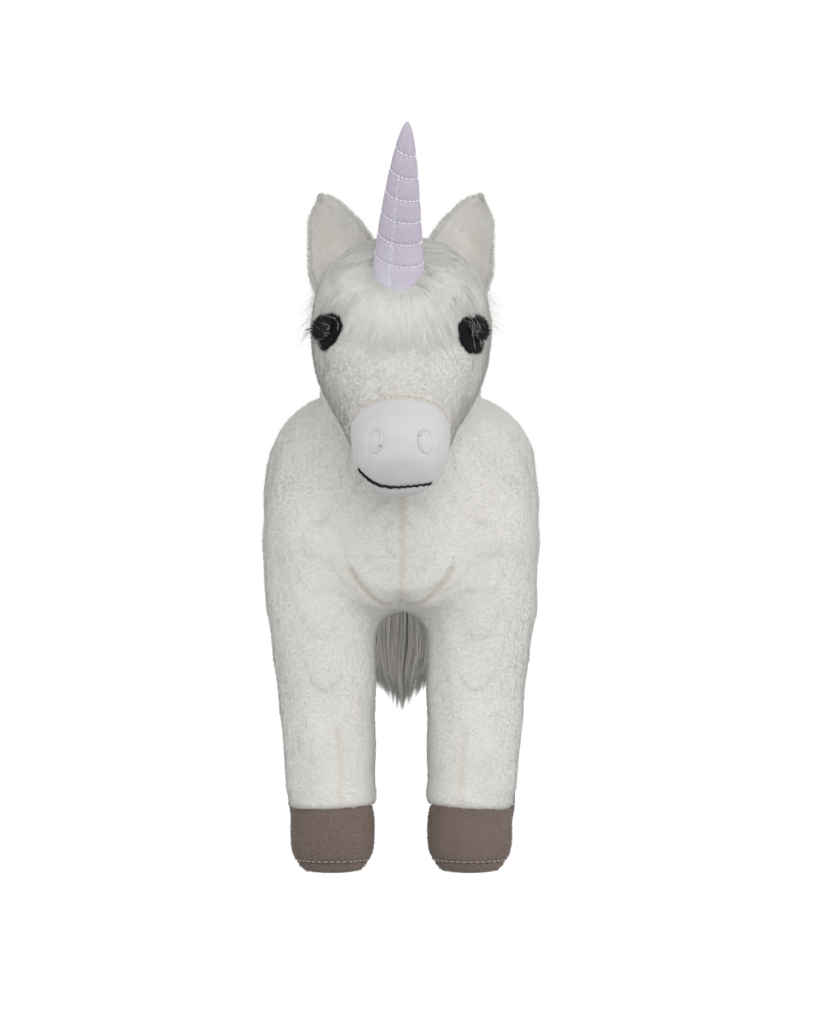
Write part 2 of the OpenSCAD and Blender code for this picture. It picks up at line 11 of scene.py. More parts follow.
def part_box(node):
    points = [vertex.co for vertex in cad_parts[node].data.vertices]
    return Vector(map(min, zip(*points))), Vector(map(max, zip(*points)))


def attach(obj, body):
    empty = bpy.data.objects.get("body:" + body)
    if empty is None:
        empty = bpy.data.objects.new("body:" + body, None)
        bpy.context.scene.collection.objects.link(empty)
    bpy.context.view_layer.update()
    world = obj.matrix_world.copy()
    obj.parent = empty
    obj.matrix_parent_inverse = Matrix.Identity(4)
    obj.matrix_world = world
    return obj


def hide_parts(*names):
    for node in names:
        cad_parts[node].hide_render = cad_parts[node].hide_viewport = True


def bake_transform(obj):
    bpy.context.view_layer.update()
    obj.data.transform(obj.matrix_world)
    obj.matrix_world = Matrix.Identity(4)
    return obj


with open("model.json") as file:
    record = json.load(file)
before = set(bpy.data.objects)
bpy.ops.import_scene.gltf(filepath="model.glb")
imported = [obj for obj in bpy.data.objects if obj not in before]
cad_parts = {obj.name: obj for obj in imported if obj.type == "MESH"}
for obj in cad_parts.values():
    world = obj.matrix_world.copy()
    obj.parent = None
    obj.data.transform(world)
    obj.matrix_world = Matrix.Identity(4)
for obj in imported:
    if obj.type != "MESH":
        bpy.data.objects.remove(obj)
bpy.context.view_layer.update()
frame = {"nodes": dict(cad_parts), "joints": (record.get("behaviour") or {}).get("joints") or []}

MM = 0.001
UP = np.array([0.0, 0.0, 1.0])
FRONT = np.array([0.0, -1.0, 0.0])
rng = np.random.default_rng(7)


# ---------------------------------------------------------------- camera, stage and lights
CAMERA_DISTANCE = 2.0        # from the front of the front hooves
CAMERA_HEIGHT = 0.2173
CAMERA_SIDE = 0.0051
LENS = 117.6
FLOOR_HALF = 20
BACKDROP_R = 24


def make_camera():
    hoof_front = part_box("front_hoof_left")[0].y
    data = bpy.data.cameras.new("camera")
    data.lens = LENS
    data.sensor_width = 36
    data.clip_end = 60
    camera = bpy.data.objects.new("camera", data)
    camera.location = (CAMERA_SIDE, hoof_front - CAMERA_DISTANCE, CAMERA_HEIGHT)
    camera.rotation_euler = (math.radians(90), 0, 0)
    bpy.context.scene.collection.objects.link(camera)
    bpy.context.scene.camera = camera


def set_inputs(node, **values):
    """Sets sockets by name, with _ for the spaces in a name."""
    for name, value in values.items():
        node.inputs[name.replace("_", " ")].default_value = value


def glowing(obj, grey, strength):
    """A stage piece that shines evenly white."""
    material, nodes, _ = new_material(obj.name)
    set_inputs(
        nodes["Principled BSDF"], Base_Color=(grey, grey, grey, 1), Roughness=1, Specular_IOR_Level=0,
        Emission_Color=(1, 1, 1, 1), Emission_Strength=strength
    )
    obj.data.materials.append(material)
    obj.visible_diffuse = False


def make_stage():
    corners = [(-FLOOR_HALF, -FLOOR_HALF, 0), (FLOOR_HALF, -FLOOR_HALF, 0),
               (FLOOR_HALF, FLOOR_HALF, 0), (-FLOOR_HALF, FLOOR_HALF, 0)]
    glowing(new_object("floor", mesh_from("floor", corners, [(0, 1, 2, 3)])), 0.20, 0.985)
    mesh = bpy.data.meshes.new("backdrop")
    bm = bmesh.new()
    bmesh.ops.create_icosphere(bm, subdivisions=4, radius=BACKDROP_R)
    bm.to_mesh(mesh)
    bm.free()
    backdrop = new_object("backdrop", mesh)
    backdrop.visible_glossy = False
    backdrop.visible_transmission = False
    backdrop.visible_shadow = False
    glowing(backdrop, 0, 1)
    scene = bpy.context.scene
    scene.view_settings.view_transform = "Standard"
    scene.world = bpy.data.worlds.new("studio")
    scene.world.use_nodes = True
    set_inputs(scene.world.node_tree.nodes["Background"], Color=(1, 1, 1, 1), Strength=0.52)


def make_light(name, place, size, power, aim=(0, 0, 0.2)):
    data = bpy.data.lights.new(name, "AREA")
    data.shape = "DISK"
    data.size = size
    data.energy = power
    light = bpy.data.objects.new(name, data)
    light.location = place
    light.rotation_euler = (Vector(aim) - Vector(place)).to_track_quat("-Z", "Y").to_euler()
    bpy.context.scene.collection.objects.link(light)


def make_lights():
    make_light("front_softbox", (0.35, -2.6, 0.9), 1.8, 31)
    make_light("left_softbox", (-2.4, -0.8, 1.0), 1.4, 11)
    make_light("right_softbox", (2.4, -0.8, 1.0), 1.4, 14)
    make_light("back_softbox", (0.3, 2.6, 1.6), 1.6, 13)


# ---------------------------------------------------------------- material helpers
def new_material(name):
    material = bpy.data.materials.new(name)
    material.use_nodes = True
    return material, material.node_tree.nodes, material.node_tree.links


def colour_mix(nodes, links, factor, low, high):
    """A colour between low and high by a factor socket."""
    mix = nodes.new("ShaderNodeMix")
    mix.data_type = "RGBA"
    links.new(factor, mix.inputs[0])
    for socket, value in ((mix.inputs[6], low), (mix.inputs[7], high)):
        if isinstance(value, bpy.types.NodeSocket):
            links.new(value, socket)
        else:
            socket.default_value = (*value, 1)
    return mix.outputs[2]


def noise(nodes, links, scale, detail=3, stretch=None):
    """Noise in the object's own coordinates; scale is features per metre."""
    place = nodes.new("ShaderNodeTexCoord")
    texture = nodes.new("ShaderNodeTexNoise")
    set_inputs(texture, Scale=scale, Detail=detail)
    source = place.outputs["Object"]
    if stretch:
        mapping = nodes.new("ShaderNodeMapping")
        set_inputs(mapping, Scale=stretch)
        links.new(source, mapping.inputs["Vector"])
        source = mapping.outputs["Vector"]
    links.new(source, texture.inputs["Vector"])
    return texture.outputs["Fac"]


def remap(nodes, links, source, low, high, to_low=0.0, to_high=1.0):
    node = nodes.new("ShaderNodeMapRange")
    set_inputs(node, From_Min=low, From_Max=high, To_Min=to_low, To_Max=to_high)
    links.new(source, node.inputs["Value"])
    return node.outputs["Result"]


def bump(nodes, links, height, distance, strength=1.0):
    node = nodes.new("ShaderNodeBump")
    set_inputs(node, Strength=strength, Distance=distance)
    links.new(height, node.inputs["Height"])
    links.new(node.outputs["Normal"], nodes["Principled BSDF"].inputs["Normal"])


def attribute(nodes, name):
    node = nodes.new("ShaderNodeAttribute")
    node.attribute_name = name
    return node.outputs["Fac"]


def cloth_material(name, colour, shade, grain, depth, sheen=0.25, seam=None, stretch=None):
    """Soft cloth: two tones over broad patches, a fine grain of pile, and a tint where the seam mark lies:
    the seams' own colour, and painted shade in the ear lining's hollow.
    """
    material, nodes, links = new_material(name)
    shader = nodes["Principled BSDF"]
    broad = remap(nodes, links, noise(nodes, links, 22, 3), 0.35, 0.65)
    fine = noise(nodes, links, grain, 4, stretch)
    tone = colour_mix(nodes, links, broad, shade, colour)
    speck = remap(nodes, links, fine, 0.3, 0.7, 0.90, 1.0)
    dark = colour_mix(nodes, links, speck, [c * 0.86 for c in shade], tone)
    if seam:
        dark = colour_mix(nodes, links, attribute(nodes, "seam"), dark, seam)
    links.new(dark, shader.inputs["Base Color"])
    set_inputs(shader, Roughness=0.95, Specular_IOR_Level=0.15, Sheen_Weight=sheen, Sheen_Roughness=0.5)
    bump(nodes, links, fine, depth)
    return material


def hair_material(name, root, tip, sheen=0.2, rough=0.7):
    """Strands: the map's first axis is the strand's own tone and its second runs from root to tip."""
    material, nodes, links = new_material(name)
    shader = nodes["Principled BSDF"]
    place = nodes.new("ShaderNodeUVMap")
    place.uv_map = "OFBake"
    split = nodes.new("ShaderNodeSeparateXYZ")
    links.new(place.outputs["UV"], split.inputs["Vector"])
    along = remap(nodes, links, split.outputs["Y"], 0, 0.8)
    dim = [c * shade for c, shade in zip(tip, (0.90, 0.88, 0.82))]
    light = colour_mix(nodes, links, split.outputs["X"], dim, tip)
    links.new(colour_mix(nodes, links, along, root, light), shader.inputs["Base Color"])
    set_inputs(shader, Roughness=rough, Specular_IOR_Level=0.25, Sheen_Weight=sheen)
    return material


# ---------------------------------------------------------------- mesh helpers
def coordinates(mesh):
    co = np.empty(len(mesh.vertices) * 3, np.float32)
    mesh.vertices.foreach_get("co", co)
    return co.reshape(-1, 3).astype(float)


def set_coordinates(mesh, co):
    mesh.vertices.foreach_set("co", np.asarray(co, np.float32).ravel())
    mesh.update()


def vertex_normals(mesh):
    out = np.empty(len(mesh.vertices) * 3, np.float32)
    mesh.vertex_normals.foreach_get("vector", out)
    return out.reshape(-1, 3).astype(float)


def unit(v):
    return v / np.maximum(np.linalg.norm(v, axis=-1, keepdims=True), 1e-12)


def times(amounts, way):
    """Each of the amounts along a way."""
    return np.multiply.outer(amounts, way)


def bell(x, width):
    return np.exp(-(x / width) ** 2)


def ramp(x, span=1.0):
    """Rises from 0 to 1 while x runs from 0 to span."""
    return np.clip(x / span, 0, 1)


def nearest(tree, points):
    """The closest points of a surface and its normals there."""
    found = [tree.find_nearest(Vector(p)) for p in points]
    return np.array([f[0] for f in found]), np.array([f[1] for f in found])


def normals_near(tree, points):
    return nearest(tree, points)[1]


def ring_faces(rows, cols):
    """Quads between neighbouring rings of cols points."""
    return [
        (r * cols + k, r * cols + (k + 1) % cols, (r + 1) * cols + (k + 1) % cols, (r + 1) * cols + k)
        for r in range(rows - 1) for k in range(cols)
    ]


def paint(mesh, material):
    mesh.materials.clear()
    mesh.materials.append(material)


def dress(mesh, material):
    """Gives a mesh its material and smooth shading."""
    paint(mesh, material)
    mesh.polygons.foreach_set("use_smooth", np.ones(len(mesh.polygons), bool))


def new_object(name, mesh, material=None):
    obj = bpy.data.objects.new(name, mesh)
    bpy.context.scene.collection.objects.link(obj)
    if material:
        dress(mesh, material)
    return obj


def mesh_from(name, points, faces):
    mesh = bpy.data.meshes.new(name)
    mesh.from_pydata([tuple(p) for p in points], [], [tuple(f) for f in faces])
    mesh.update()
    return mesh


def baked(obj):
    """Applies the object's modifiers to its mesh."""
    graph = bpy.context.evaluated_depsgraph_get()
    mesh = bpy.data.meshes.new_from_object(obj.evaluated_get(graph))
    obj.modifiers.clear()
    obj.data = mesh
    return obj


def cad_points(*nodes):
    return np.concatenate([coordinates(frame["nodes"][n].data) for n in nodes])


def cad_union(name, nodes, voxel, extra=(), cut_below=None):
    """One closed skin around CAD solids and extra meshes."""
    bm = bmesh.new()
    for node in nodes:
        part = bmesh.new()
        part.from_mesh(frame["nodes"][node].data)
        bmesh.ops.remove_doubles(part, verts=part.verts, dist=1e-6)
        if cut_below is not None and "filling" in node and "leg" in node:
            geometry = part.verts[:] + part.edges[:] + part.faces[:]
            cut = bmesh.ops.bisect_plane(
                part, geom=geometry, plane_co=(0, 0, cut_below), plane_no=(0, 0, -1), clear_outer=True
            )
            rim = [e for e in cut["geom_cut"] if isinstance(e, bmesh.types.BMEdge)]
            bmesh.ops.contextual_create(part, geom=rim)
        piece = bpy.data.meshes.new("piece")
        part.to_mesh(piece)
        part.free()
        bm.from_mesh(piece)
        bpy.data.meshes.remove(piece)
    for mesh in extra:
        bm.from_mesh(mesh)
    mesh = bpy.data.meshes.new(name)
    bm.to_mesh(mesh)
    bm.free()
    obj = new_object(name, mesh)
    remesh = obj.modifiers.new("skin", "REMESH")
    remesh.mode = "VOXEL"
    remesh.voxel_size = voxel
    return baked(obj)


def neighbour_mean(mesh):
    """A function that gives the mean of each vertex's neighbours."""
    edges = np.empty(len(mesh.edges) * 2, np.int64)
    mesh.edges.foreach_get("vertices", edges)
    a, b = edges.reshape(-1, 2).T
    count = len(mesh.vertices)
    near = np.bincount(a, minlength=count) + np.bincount(b, minlength=count)

    def mean(values):
        columns = [
            np.bincount(a, values[:, k][b], count) + np.bincount(b, values[:, k][a], count)
            for k in range(values.shape[1])
        ]
        return np.stack(columns, 1) / near[:, None]

    return mean


def smooth(mesh, rounds):
    """Evens out a mesh; the second half of each round undoes the shrinking."""
    mean = neighbour_mean(mesh)
    co = coordinates(mesh)
    for _ in range(rounds):
        co = co + 0.5 * (mean(co) - co)
        co = co - 0.52 * (mean(co) - co)
    set_coordinates(mesh, co)


def subdivide(obj):
    obj.modifiers.new("subdivide", "SUBSURF").levels = 1
    return baked(obj)


def distance_to_line(points, line):
    """Distance of each point from a polyline."""
    best = np.full(len(points), np.inf)
    for a, b in zip(line[:-1], line[1:]):
        along = b - a
        t = np.clip((points - a) @ along / max(along @ along, 1e-12), 0, 1)
        best = np.minimum(best, np.linalg.norm(points - (a + t[:, None] * along), axis=1))
    return best


def tree_of(mesh):
    return BVHTree.FromPolygons([v.co for v in mesh.vertices], [p.vertices for p in mesh.polygons])


def cast(tree, start, way):
    hit = tree.ray_cast(Vector(start), Vector(way))
    return None if hit[0] is None else np.array(hit[0])


def cast_line(tree, points, way):
    """A polyline laid on a surface by rays that run along way."""
    points = np.array(points, float)
    t = np.linspace(0, len(points) - 1, 24)
    spread = np.stack([np.interp(t, np.arange(len(points)), points[:, k]) for k in range(3)], 1)
    way = np.array(way, float)
    found = [cast(tree, p - way, way) for p in spread]
    return np.array([p for p in found if p is not None])


# the seam mark: seam lines, the horn's seam that its painted glints follow, and a spot of painted shade in
# the ear lining's hollow
def mark_seam_and_painted_light(mesh, values):
    mark = mesh.attributes.get("seam") or mesh.attributes.new("seam", "FLOAT", "POINT")
    mark.data.foreach_set("value", np.clip(values, 0, 1).astype(np.float32))


def groove(mesh, lines, depth, width):
    """Sinks the surface along seam lines and marks it there."""
    co = coordinates(mesh)
    near = np.zeros(len(co))
    for line, amount in lines:
        if len(line) > 1:
            near = np.maximum(near, amount * bell(distance_to_line(co, line), width))
    raise_surface(mesh, -near * depth)
    mark_seam_and_painted_light(mesh, near)


def raise_surface(mesh, height):
    """Moves a surface out along its normals."""
    set_coordinates(mesh, coordinates(mesh) + vertex_normals(mesh) * np.reshape(height, (-1, 1)))


def lumps(mesh, size, height, seed):
    """Broad soft unevenness of stuffing."""
    co = coordinates(mesh)
    field = np.zeros(len(co))
    draw = np.random.default_rng(seed)
    for _ in range(14):
        wave = draw.normal(size=3) / size
        field += np.sin(co @ wave * 2 * math.pi + draw.uniform(0, 6.28)) / 14 ** 0.5
    raise_surface(mesh, field * height)


# ---------------------------------------------------------------- strands
def strands(name, paths, radius, tone, material, sides=3, normals=None):
    """Tapered strands along paths of shape (count, points, 3)."""
    count, steps, _ = paths.shape
    if steps > 2:
        along = unit(np.gradient(paths, axis=1))
    else:
        along = unit(np.repeat(paths[:, 1:] - paths[:, :1], 2, 1))
    ref = unit(rng.normal(size=(count, 1, 3)))
    side = unit(np.cross(along, ref))
    across = np.cross(along, side)
    angles = np.arange(sides) * 2 * math.pi / sides
    rings = paths[:, :-1, None] + radius[:, :-1, None, None] * (
        np.cos(angles)[:, None] * side[:, :-1, None] + np.sin(angles)[:, None] * across[:, :-1, None]
    )
    each = (steps - 1) * sides + 1
    points = np.concatenate([rings.reshape(count, -1, 3), paths[:, -1:]], 1)
    corner = np.arange(sides)
    after = (corner + 1) % sides
    quads = [
        r * sides + np.stack([corner, after, sides + after, sides + corner], 1)
        for r in range(steps - 2)
    ]
    last = (steps - 2) * sides
    tips = np.stack([last + corner, last + after, np.full(sides, each - 1)], 1)
    base = (np.arange(count) * each)[:, None]
    loops = np.concatenate([q.ravel() for q in quads] + [tips.ravel()])
    sizes = np.array([4] * (sides * (steps - 2)) + [3] * sides)
    mesh = bpy.data.meshes.new(name)
    mesh.vertices.add(count * each)
    mesh.vertices.foreach_set("co", points.reshape(-1).astype(np.float32))
    corners = (base + loops[None]).ravel()
    mesh.loops.add(len(corners))
    mesh.loops.foreach_set("vertex_index", corners.astype(np.int32))
    all_sizes = np.tile(sizes, count)
    starts = np.concatenate([[0], np.cumsum(all_sizes)[:-1]])
    mesh.polygons.add(len(all_sizes))
    mesh.polygons.foreach_set("loop_start", starts.astype(np.int32))
    mesh.update(calc_edges=True)
    height = np.concatenate([np.repeat(np.arange(steps - 1), sides), [steps - 1]]) / (steps - 1)
    width = np.concatenate([np.tile(corner, steps - 1), [1]]) / sides
    u = 0.02 + 0.9 * tone[:, None] + 0.05 * width[loops][None]
    v = np.broadcast_to(0.02 + 0.96 * height[loops], (count, len(loops)))
    uv = mesh.uv_layers.new(name="OFBake")
    uv.uv.foreach_set("vector", np.stack([u, v], 2).astype(np.float32).ravel())
    obj = new_object(name, mesh, material)
    if normals is not None:
        if normals.ndim == 2:
            shade = np.repeat(normals, each, 0)
        else:
            rings = np.repeat(normals[:, :-1], sides, 1)
            shade = np.concatenate([rings, normals[:, -1:]], 1).reshape(-1, 3)
        mesh.normals_split_custom_set_from_vertices(shade.astype(np.float32))
    return obj


def surface_points(mesh, per_face):
    """Evenly spread points on a quad mesh with their normals."""
    co = coordinates(mesh)
    normals = vertex_normals(mesh)
    quads = np.array([p.vertices[:4] for p in mesh.polygons if len(p.vertices) == 4])
    points, ways = [], []
    for k in range(per_face):
        u = (k + rng.random(len(quads))) / per_face
        v = rng.random(len(quads))
        w = np.stack([(1 - u) * (1 - v), u * (1 - v), u * v, (1 - u) * v], 1)[:, :, None]
        points.append((co[quads] * w).sum(1))
        ways.append((normals[quads] * w).sum(1))
    return np.concatenate(points), unit(np.concatenate(ways))


def combed(normals, groom, lie):
    """Directions between standing up and lying along the groom."""
    flat = unit(groom - (groom * normals).sum(1, keepdims=True) * normals)
    return unit(normals * (1 - lie) + flat * lie)


def pile(name, points, normals, groom, length, radius, lie, material, spread=0.25):
    """Short fibres over a surface, lit as the surface is."""
    way = combed(normals, groom, lie)
    way = unit(way + rng.normal(size=way.shape) * spread)
    under = (way * normals).sum(1, keepdims=True) < 0.15
    way = np.where(under, unit(way + normals * 0.4), way)
    size = length * rng.uniform(0.6, 1.15, len(points))
    root = points - normals * 0.3 * MM
    paths = np.stack([root, root + way * size[:, None]], 1)
    widths = np.stack([np.full(len(points), radius), np.zeros(len(points))], 1)
    return strands(name, paths, widths, rng.random(len(points)), material, normals=normals)


# ---------------------------------------------------------------- places read from the frame
HEAD_PITCH = math.radians(45)
HORN_LEAN = math.radians(30)
X = np.array([1.0, 0.0, 0.0])
FACE = np.array([0.0, -math.cos(HEAD_PITCH), -math.sin(HEAD_PITCH)])   # down the face, towards the nose
BROW = np.array([0.0, -math.sin(HEAD_PITCH), math.cos(HEAD_PITCH)])    # straight out of the forehead
HORN_WAY = np.array([0.0, -math.sin(HORN_LEAN), math.cos(HORN_LEAN)])
HORN_FRONT = np.array([0.0, -math.cos(HORN_LEAN), -math.sin(HORN_LEAN)])
SKULL_SHARE = 0.37           # of the head's length lies behind the middle of the skull
HORN_SEAT = (0.09, 0.81)     # seat of the horn: along the face, and out from its axis
SIDES = (("left", 1), ("right", -1))
LEGS = [(f"{end}_{side}", end, side) for end in ("front", "hind") for side, _ in SIDES]


def spread_of(points, way):
    reach = points @ way
    return reach.min(), reach.max()


def measure_head():
    """Middle of the skull, length of the face below it, and half depth of the skull."""
    points = cad_points("head_cover_left", "muzzle_cover", "chin_panel")
    low, high = spread_of(points, FACE)
    under, over = spread_of(points, BROW)
    length = (high - low) / (1 + SKULL_SHARE)
    return FACE * (low + SKULL_SHARE * length) + BROW * (under + over) / 2, length, (over - under) / 2


SKULL, HEAD_LEN, SKULL_HALF = measure_head()
CUFF_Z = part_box("front_leg_cover_left")[0].z
BELLY_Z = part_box("belly_gusset")[0].z
BACK_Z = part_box("torso_cover_left")[1].z
CHEST_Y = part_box("chest_panel_left")[0].y
RUMP_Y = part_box("torso_cover_left")[1].y
MUZZLE_SEAM = spread_of(cad_points("muzzle_cover"), FACE)[0]
HINGES = {joint["child"]: np.array(joint["pos_m"]) for joint in frame["joints"]}


def middle(node):
    low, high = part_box(node)
    return np.array((low + high) / 2)


def on_face(along, out, x=0.0):
    return SKULL + FACE * along + BROW * out + X * x


EYE = {side: middle(f"eye_{side}") for side, _ in SIDES}
FOOT = {leg: middle(f"{end}_sole_{side}") * [1, 1, 0] for leg, end, side in LEGS}
HORN_BASE = on_face(HORN_SEAT[0] * HEAD_LEN, HORN_SEAT[1] * SKULL_HALF)
HORN_LEN = (cad_points("horn_cover") @ HORN_WAY).max() - HORN_BASE @ HORN_WAY
HORN_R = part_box("horn_filling")[1].x + 3.0 * MM
HORN_OFF = -1.6 * MM         # the horn sits this far to the toy's right

# ---------------------------------------------------------------- materials
WHITE = (0.80, 0.79, 0.755)
WHITE_SHADE = (0.77, 0.755, 0.71)
# on the plush and velour this is the seams' own colour; on the ear lining it is painted shade in the ear's
# hollow
SEAM_AND_SHADE_TINT = (0.60, 0.55, 0.44)
HOOF_SEAM = (0.09, 0.07, 0.06)


def horn_material():
    """Pearly satin: pale foot, lilac above, with glints painted into its colour as bright specks along the
    seam.
    """
    material, nodes, links = new_material("horn_satin")
    shader = nodes["Principled BSDF"]
    height = attribute(nodes, "height")
    weave = noise(nodes, links, 900, 2, (1, 1, 0.15))
    rise = remap(nodes, links, height, 0.12, 0.34)
    cloth = colour_mix(nodes, links, rise, (0.62, 0.59, 0.69), (0.49, 0.44, 0.53))
    sheer = remap(nodes, links, weave, 0.35, 0.65, 0, 0.35)
    cloth = colour_mix(nodes, links, sheer, cloth, (0.60, 0.55, 0.67))
    patch = remap(nodes, links, noise(nodes, links, 60, 2), 0.4, 0.7, 0, 0.5)
    cloth = colour_mix(nodes, links, patch, cloth, (0.50, 0.45, 0.56))
    # painted highlight: teal-white glints mixed into the base colour where noise peaks along the seam
    painted_glint = nodes.new("ShaderNodeMath")
    painted_glint.operation = "MULTIPLY"
    links.new(remap(nodes, links, noise(nodes, links, 1300, 2), 0.56, 0.62), painted_glint.inputs[0])
    links.new(attribute(nodes, "seam"), painted_glint.inputs[1])
    cloth = colour_mix(nodes, links, painted_glint.outputs[0], cloth, (0.80, 1.0, 0.99))
    links.new(cloth, shader.inputs["Base Color"])
    set_inputs(
        shader, Roughness=0.36, Specular_IOR_Level=0.45, Sheen_Weight=0.3, Sheen_Roughness=0.4,
        Sheen_Tint=(0.85, 0.80, 1.0, 1)
    )
    bump(nodes, links, weave, 0.2 * MM, 0.5)
    return material


def plain_material(name, colour, rough, grain=3000, depth=0.1 * MM):
    """Thread, plastic and other small parts: one tone with a fine grain."""
    material, nodes, links = new_material(name)
    shader = nodes["Principled BSDF"]
    fine = noise(nodes, links, grain, 3)
    tone = remap(nodes, links, fine, 0.3, 0.7)
    links.new(colour_mix(nodes, links, tone, [c * 0.8 for c in colour], colour), shader.inputs["Base Color"])
    set_inputs(shader, Roughness=rough)
    bump(nodes, links, fine, depth)
    return material


PLUSH = cloth_material("white_plush", WHITE, WHITE_SHADE, 700, 0.5 * MM, seam=SEAM_AND_SHADE_TINT)
VELOUR = cloth_material(
    "muzzle_velour", (0.64, 0.64, 0.65), (0.615, 0.615, 0.62), 1500, 0.15 * MM, seam=SEAM_AND_SHADE_TINT
)
# the lining's seam tint is used only for painted shade in the ear's hollow
EAR_LINING = cloth_material(
    "ear_lining", (0.78, 0.765, 0.735), (0.74, 0.72, 0.68), 900, 0.3 * MM, seam=SEAM_AND_SHADE_TINT
)
HOOF = cloth_material(
    "hoof_nap", (0.235, 0.175, 0.145), (0.17, 0.125, 0.105), 700, 0.5 * MM, 0.3, HOOF_SEAM
)
SOLE = cloth_material("sole_nap", (0.20, 0.15, 0.125), (0.15, 0.11, 0.09), 700, 0.5 * MM, 0.3, HOOF_SEAM)
BLACK_PILE = cloth_material(
    "black_pile", (0.012, 0.012, 0.014), (0.006, 0.006, 0.007), 900, 0.3 * MM, 0.02
)
# painted shade: the tail's heart is tinted darker than its white hair, for the shade inside the tail
SHADED_TAIL_CORE = cloth_material(
    "tail_core", (0.66, 0.64, 0.59), (0.54, 0.52, 0.47), 500, 0.8 * MM, 0.1, stretch=(1, 1, 0.1)
)
FUR = hair_material("plush_pile", (0.75, 0.74, 0.70), (0.83, 0.82, 0.785))
HAIR = hair_material("long_pile", (0.76, 0.75, 0.71), (0.88, 0.87, 0.84), 0.3, 0.6)
BLACK_FUR = hair_material("black_fibre", (0.005, 0.005, 0.006), (0.016, 0.016, 0.019), 0.02, 0.6)
HOOF_NAP = hair_material("hoof_fibre", (0.09, 0.065, 0.055), (0.40, 0.32, 0.275), 0.1, 0.8)
THREAD = plain_material("quilting_thread", (0.90, 0.89, 0.93), 0.4)
HOOF_THREAD = plain_material("hoof_thread", (0.42, 0.34, 0.29), 0.8)
MOUTH_THREAD = plain_material("mouth_thread", (0.002, 0.002, 0.004), 0.9)
WHITE_THREAD = plain_material("white_thread", (0.66, 0.66, 0.67), 0.7)
SEAM_THREAD = plain_material("seam_thread", (0.66, 0.61, 0.52), 0.8)
EYE_GLOSS = plain_material("black_eye", (0.003, 0.003, 0.004), 0.14, 60, 0.01 * MM)
set_inputs(EYE_GLOSS.node_tree.nodes["Principled BSDF"], Specular_IOR_Level=0.6)
HORN = horn_material()


def finish_piece(obj, body, slot, *nodes, fill=None):
    """Attaches a piece to its body and hides the CAD nodes that it stands for. Its slot and fill are not
    used.
    """
    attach(obj, body)
    if nodes:
        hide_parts(*nodes)
    return obj


# ---------------------------------------------------------------- stuffing
CLOTH_FRAMES = 16
CREASE_ROUNDS = 60           # evens out the simulation's creases, which stuffed plush doesn't show


def inflate(obj, pressure, cap, pins):
    """Swells a closed skin by cloth simulation; pins holds it from 0 to 1 for each vertex."""
    before = coordinates(obj.data)
    group = obj.vertex_groups.new(name="seams")
    for level in np.unique(np.round(pins, 1)):
        if level > 0:
            picked = np.nonzero(np.round(pins, 1) == level)[0]
            group.add([int(i) for i in picked], float(level), "REPLACE")
    cloth = obj.modifiers.new("cloth", "CLOTH")
    settings = cloth.settings
    settings.quality = 4
    settings.mass = 0.15
    settings.tension_stiffness = settings.compression_stiffness = 12
    settings.shear_stiffness = 4
    settings.bending_stiffness = 1.5
    settings.use_pressure = True
    settings.uniform_pressure_force = pressure
    settings.vertex_group_mass = "seams"
    settings.pin_stiffness = 1
    settings.effector_weights.gravity = 0
    cloth.collision_settings.use_collision = False
    cloth.collision_settings.use_self_collision = False
    for step in range(1, CLOTH_FRAMES + 1):
        bpy.context.scene.frame_set(step)
    baked(obj)
    obj.vertex_groups.clear()
    move = coordinates(obj.data) - before
    far = np.linalg.norm(move, axis=1, keepdims=True)
    move = move * np.minimum(1, cap / np.maximum(far, 1e-9))
    mean = neighbour_mean(obj.data)
    for _ in range(CREASE_ROUNDS):
        move = (move + mean(move)) / 2
    set_coordinates(obj.data, before + move)
    bpy.context.scene.frame_set(1)
    return obj


# ---------------------------------------------------------------- body
BODY_VOXEL = 4 * MM
SIDE_SWELL = 2.4 * MM        # stuffing pushes the shoulders and front legs this far out
ARCH_HALF = 10 * MM          # the belly rises between the legs over this half width
ARCH_RISE = 5 * MM
CUFF_ROUND = 4 * MM
CUFF_TILT = {"left": -0.075, "right": 0.05}      # rise of a cuff per length towards +X
BODY_NODES = [
    n for n in frame["nodes"]
    if n.startswith(("torso_", "chest_", "belly_", "neck_")) or "_leg_" in n
]


def ellipsoid(centre, radii):
    bm = bmesh.new()
    bmesh.ops.create_icosphere(bm, subdivisions=4, radius=1)
    bm.transform(Matrix.Translation(Vector(centre)) @ Matrix.Diagonal((*radii, 1)))
    mesh = bpy.data.meshes.new("bulge")
    bm.to_mesh(mesh)
    bm.free()
    return mesh


def body_seams(tree):
    """Seam lines of the body, each with how deep it sits."""
    front, rear, down, up = (0, 1, 0), (0, -1, 0), (0, 0, -1), (0, 0, 1)
    crotch = BELLY_Z + 0.008
    lines = [(cast_line(tree, [(0, 0, 0.245), (0.001, 0, 0.20), (0, 0, crotch)], front), 0.5)]
    for side, sign in SIDES:
        top = [(0.030, 0.183), (0.027, 0.177), (0.022, 0.171), (0.014, 0.163), (0.006, crotch + 0.001)]
        lines.append((cast_line(tree, [(sign * x, 0, z) for x, z in top], front), 0.8))
        shin = [(sign * 0.038, 0, 0.088), (sign * 0.036, 0, 0.06), (sign * 0.036, 0, CUFF_Z)]
        lines.append((cast_line(tree, shin, front), 0.3))
        hock = [(sign * 0.046, 0, 0.22), (sign * 0.048, 0, 0.12), (sign * 0.048, 0, CUFF_Z)]
        lines.append((cast_line(tree, hock, rear), 0.35))
        gusset = [(sign * 0.036, -0.06, 0), (sign * 0.042, 0.0, 0), (sign * 0.038, 0.10, 0)]
        lines.append((cast_line(tree, gusset, up), 0.5))
    spine = [(0, CHEST_Y + 0.11, 0), (0, 0, 0), (0, RUMP_Y - 0.004, 0)]
    lines.append((cast_line(tree, spine, down), 0.4))
    return lines


